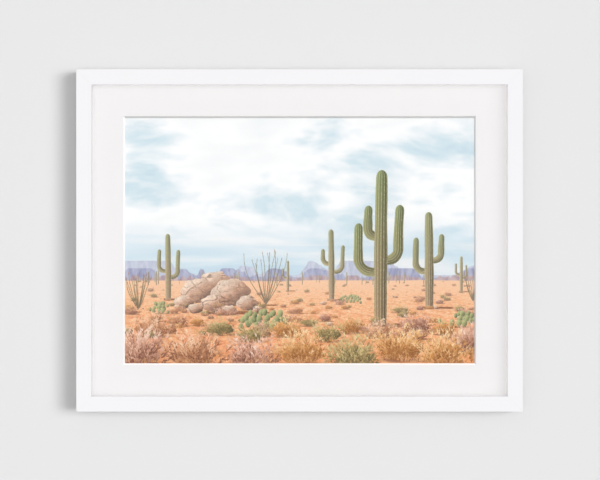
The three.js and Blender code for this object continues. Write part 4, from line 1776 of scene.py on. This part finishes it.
def add_light(name, level, turn, lift, spread, group=None):
    """A distant light to the right of straight on by turn, above it by lift, and spread this wide.

    A level of 1 makes a white wall that faces the room as bright as white. A group keeps the
    light to its pieces.
    """
    way = Vector((math.sin(turn) * math.cos(lift), -math.cos(turn) * math.cos(lift), math.sin(lift)))
    light = bpy.data.lights.new(name, "SUN")
    light.energy = level * math.pi / abs(way.y)
    light.angle = spread
    lamp = new_object(name, light)
    lamp.rotation_mode = "QUATERNION"
    lamp.rotation_quaternion = way.to_track_quat("Z", "Y")
    if group:
        lamp.light_linking.receiver_collection = light_group(group)
    return lamp


SENSOR_W_MM = 36.0


def make_camera(stage):
    """The photograph's camera: level and straight on, at the distance its scale gives."""
    data = bpy.data.cameras.new("straight_on")
    data.lens = stage.lens
    data.sensor_width = SENSOR_W_MM
    per_px = FRAME_W / FRAME_W_PX
    distance = stage.lens / SENSOR_W_MM * PHOTO_W_PX * per_px
    camera = new_object("straight_on", data)
    right = (PHOTO_W_PX / 2 - FRAME_CENTRE_PX[0]) * per_px
    up = (FRAME_CENTRE_PX[1] - PHOTO_H_PX / 2) * per_px
    camera.location = (right, FRONT_Y - distance, FRAME_MIDDLE_Z + up)
    camera.rotation_euler = (math.radians(90), 0, 0)
    bpy.context.scene.camera = camera


# The wall goes on this far round the frame, in metres. Behind the frame, from a little inside its outline,
# it carries painted shade. It stands just clear of the plane that the frame hangs at.
WALL_REACH = 2.6
WALL_Y = 0.2 * MM
PAINTED_SHADE_INSET = 2 * MM


def make_wall(stage):
    """The wall's face, with painted shade on the part behind the frame. Only the camera meets it."""
    mesh = bmesh.new()
    rings = []
    for grow in (-PAINTED_SHADE_INSET, WALL_REACH):
        rings.append(rectangle_ring(mesh, FRAME_W / 2 + grow, FRAME_H / 2 + grow, WALL_Y))
    bridge(mesh, rings)
    # The face inside the inner ring takes the near-black painted shade
    mesh.faces.new(rings[0]).material_index = 1
    turn_to_room(mesh)
    wall = new_object("wall_face", new_mesh("wall_face", mesh, [room_paint(stage), painted_gap_shade()]))
    wall.visible_diffuse = False
    wall.visible_glossy = False
    wall.visible_transmission = False
    wall.visible_shadow = False
    light_group("wall_face").objects.link(wall)


# The seal runs this far inside the frame's outline, from its back to the wall
SEAL_INSET = 0.6 * MM
SEAL_ENDS_Y = (BACK_Y + 0.05 * MM, 0.1 * MM)


def make_seal():
    """A strip that keeps the light on the frame's back off the wall. The camera can't see it."""
    mesh = bmesh.new()
    half_w = FRAME_W / 2 - SEAL_INSET
    half_h = FRAME_H / 2 - SEAL_INSET
    bridge(mesh, [rectangle_ring(mesh, half_w, half_h, y) for y in SEAL_ENDS_Y])
    # The seal's near-black paint is painted shade: what little light it throws back onto the wall stays dim,
    # as in a shadowed gap
    seal = make_piece("light_seal", mesh, [painted_gap_shade()])
    seal.visible_camera = False
    seal.visible_glossy = False


# The floor lies this far below the frame, and goes on this far to each side and into the room,
# in metres
FLOOR_DROP = 0.95
FLOOR_HALF_W = 3
FLOOR_DEPTH = 3.4


def make_floor():
    """A plain pale floor, well below the frame."""
    mesh = bmesh.new()
    z = FRAME_BOTTOM - FLOOR_DROP
    corners = ((-FLOOR_HALF_W, -FLOOR_DEPTH), (FLOOR_HALF_W, -FLOOR_DEPTH))
    corners += ((FLOOR_HALF_W, 0), (-FLOOR_HALF_W, 0))
    mesh.faces.new([mesh.verts.new((x, y, z)) for x, y in corners])
    floor = make_piece("plain_floor", mesh, [floor_paint()])
    floor.visible_diffuse = False
    floor.visible_shadow = False
    light_group("plain_floor").objects.link(floor)


def make_room(stage):
    """Room light: dim from the front, brighter from behind, where no wall is in the way."""
    world = bpy.data.worlds.new("pale_room")
    bpy.context.scene.world = world
    world.use_nodes = True
    tree = world.node_tree
    tree.nodes.clear()
    way = add(tree, "TexCoord", output="Generated")
    along_y = add(tree, "SeparateXYZ", {0: way}, "Y")
    up = along_y.node.outputs["Z"]
    past_wall = {"Value": along_y, "From Min": -0.02, "From Max": 0.3}
    rear = add(tree, "MapRange", past_wall, interpolation_type="SMOOTHSTEP")
    upwards = {"Value": up, "From Min": -0.7, "From Max": 0.9, "To Min": 0.2, "To Max": 0.5}
    rear_level = add(tree, "MapRange", upwards)
    level = add(tree, "Mix", {0: rear, 2: stage.ambient, 3: rear_level}, data_type="FLOAT")
    lighting = add(tree, "Background", {"Color": linear("#ffffff"), "Strength": level})
    backdrop = add(tree, "Background", {"Color": linear("#eaeaea"), "Strength": 1.0})
    seen = add(tree, "LightPath", output="Is Camera Ray")
    surface = add(tree, "MixShader", {0: seen, 1: lighting, 2: backdrop})
    add(tree, "OutputWorld", {"Surface": surface})


# The wall's light is four in a square, each this far from its middle to a side and up or down:
# together they make one wide source, whose shadow fades out along all its edges
WALL_LIGHT_STEP = math.radians(6.1)
WALL_LIGHT_RISE = math.radians(5.5)
WALL_LIGHT_SPREAD = math.radians(17)

# Levels of the floor's light, and of the one on the back
FLOOR_LEVEL = 0.35
REAR_LEVEL = 0.5


class FRAMED_PRINT_OT_stage(bpy.types.Operator):
    """Makes the camera, the wall, the floor and the lights"""

    bl_idname = "framed_print.stage"
    bl_label = "Stage"

    def execute(self, context):
        stage = context.scene.framed_print_stage
        context.scene.view_settings.view_transform = "Standard"
        context.scene.view_settings.look = "None"
        make_camera(stage)
        make_wall(stage)
        make_seal()
        make_floor()
        make_room(stage)
        for step in (-1, 1):
            for rise in (-1, 1):
                turn = stage.wall_key_turn + step * WALL_LIGHT_STEP
                lift = stage.wall_key_lift + rise * WALL_LIGHT_RISE
                add_light("wall_light", stage.wall_key / 4, turn, lift, WALL_LIGHT_SPREAD, "wall_face")
        # Each light's name, level, turn, lift and spread in degrees, and the group it is kept to.
        # The paper's light comes from the upper right, which shades the mat's upper and right cuts.
        lights = (
            ("wall_fill", stage.wall_fill, 0, 0, 145, "wall_face"),
            ("rail_light", stage.rail_key, 0, 0, 170, "rails_and_back"),
            ("paper_light", stage.paper_key, 38, 47, 10, "paper_layers"),
            ("paper_shading", stage.paper_soft, 45, 7, 40, "paper_layers"),
            ("paper_wide", stage.paper_wide, 0, 0, 150, "paper_layers"),
            ("floor_light", FLOOR_LEVEL, 0, 60, 60, "plain_floor"),
            ("rear_light", REAR_LEVEL, 195, 18, 40, None),
        )
        lamps = {}
        for name, level, turn, lift, spread, group in lights:
            angles = (math.radians(degrees) for degrees in (turn, lift, spread))
            lamps[name] = add_light(name, level, *angles, group)
        # In the paper's light, only the mat throws a shadow
        lamps["paper_light"].light_linking.blocker_collection = light_group("mat_cut")
        lamps["rail_light"].visible_glossy = False
        lamps["floor_light"].visible_glossy = False
        return {"FINISHED"}


class FRAMED_PRINT_PT_panel(bpy.types.Panel):
    """Lists the steps that make the framed print"""

    bl_label = "Framed Print"
    bl_idname = "FRAMED_PRINT_PT_panel"
    bl_space_type = "VIEW_3D"
    bl_region_type = "UI"
    bl_category = "Framed Print"

    def draw(self, context):
        for step in STEPS:
            self.layout.operator(step.bl_idname)


STEPS = (
    FRAMED_PRINT_OT_stage,
    FRAMED_PRINT_OT_rails,
    FRAMED_PRINT_OT_wedges,
    FRAMED_PRINT_OT_glazing,
    FRAMED_PRINT_OT_window_mat,
    FRAMED_PRINT_OT_print_sheet,
    FRAMED_PRINT_OT_motifs,
    FRAMED_PRINT_OT_boards,
    FRAMED_PRINT_OT_turn_buttons,
    FRAMED_PRINT_OT_screws,
    FRAMED_PRINT_OT_hanger,
    FRAMED_PRINT_OT_bumpers,
)
SETTINGS = {
    "framed_print_woodwork": FramedPrintWoodwork,
    "framed_print_paper": FramedPrintPaper,
    "framed_print_picture": FramedPrintPicture,
    "framed_print_hardware": FramedPrintHardware,
    "framed_print_stage": FramedPrintStage,
}


def register():
    for name, group in SETTINGS.items():
        bpy.utils.register_class(group)
        setattr(bpy.types.Scene, name, bpy.props.PointerProperty(type=group))
    for step in STEPS:
        bpy.utils.register_class(step)
    bpy.utils.register_class(FRAMED_PRINT_PT_panel)


def unregister():
    bpy.utils.unregister_class(FRAMED_PRINT_PT_panel)
    for step in reversed(STEPS):
        bpy.utils.unregister_class(step)
    for name, group in SETTINGS.items():
        delattr(bpy.types.Scene, name)
        bpy.utils.unregister_class(group)


def main():
    register()
    for step in STEPS:
        group, name = step.bl_idname.split(".")
        getattr(getattr(bpy.ops, group), name)()


if __name__ == "__main__":
    main()
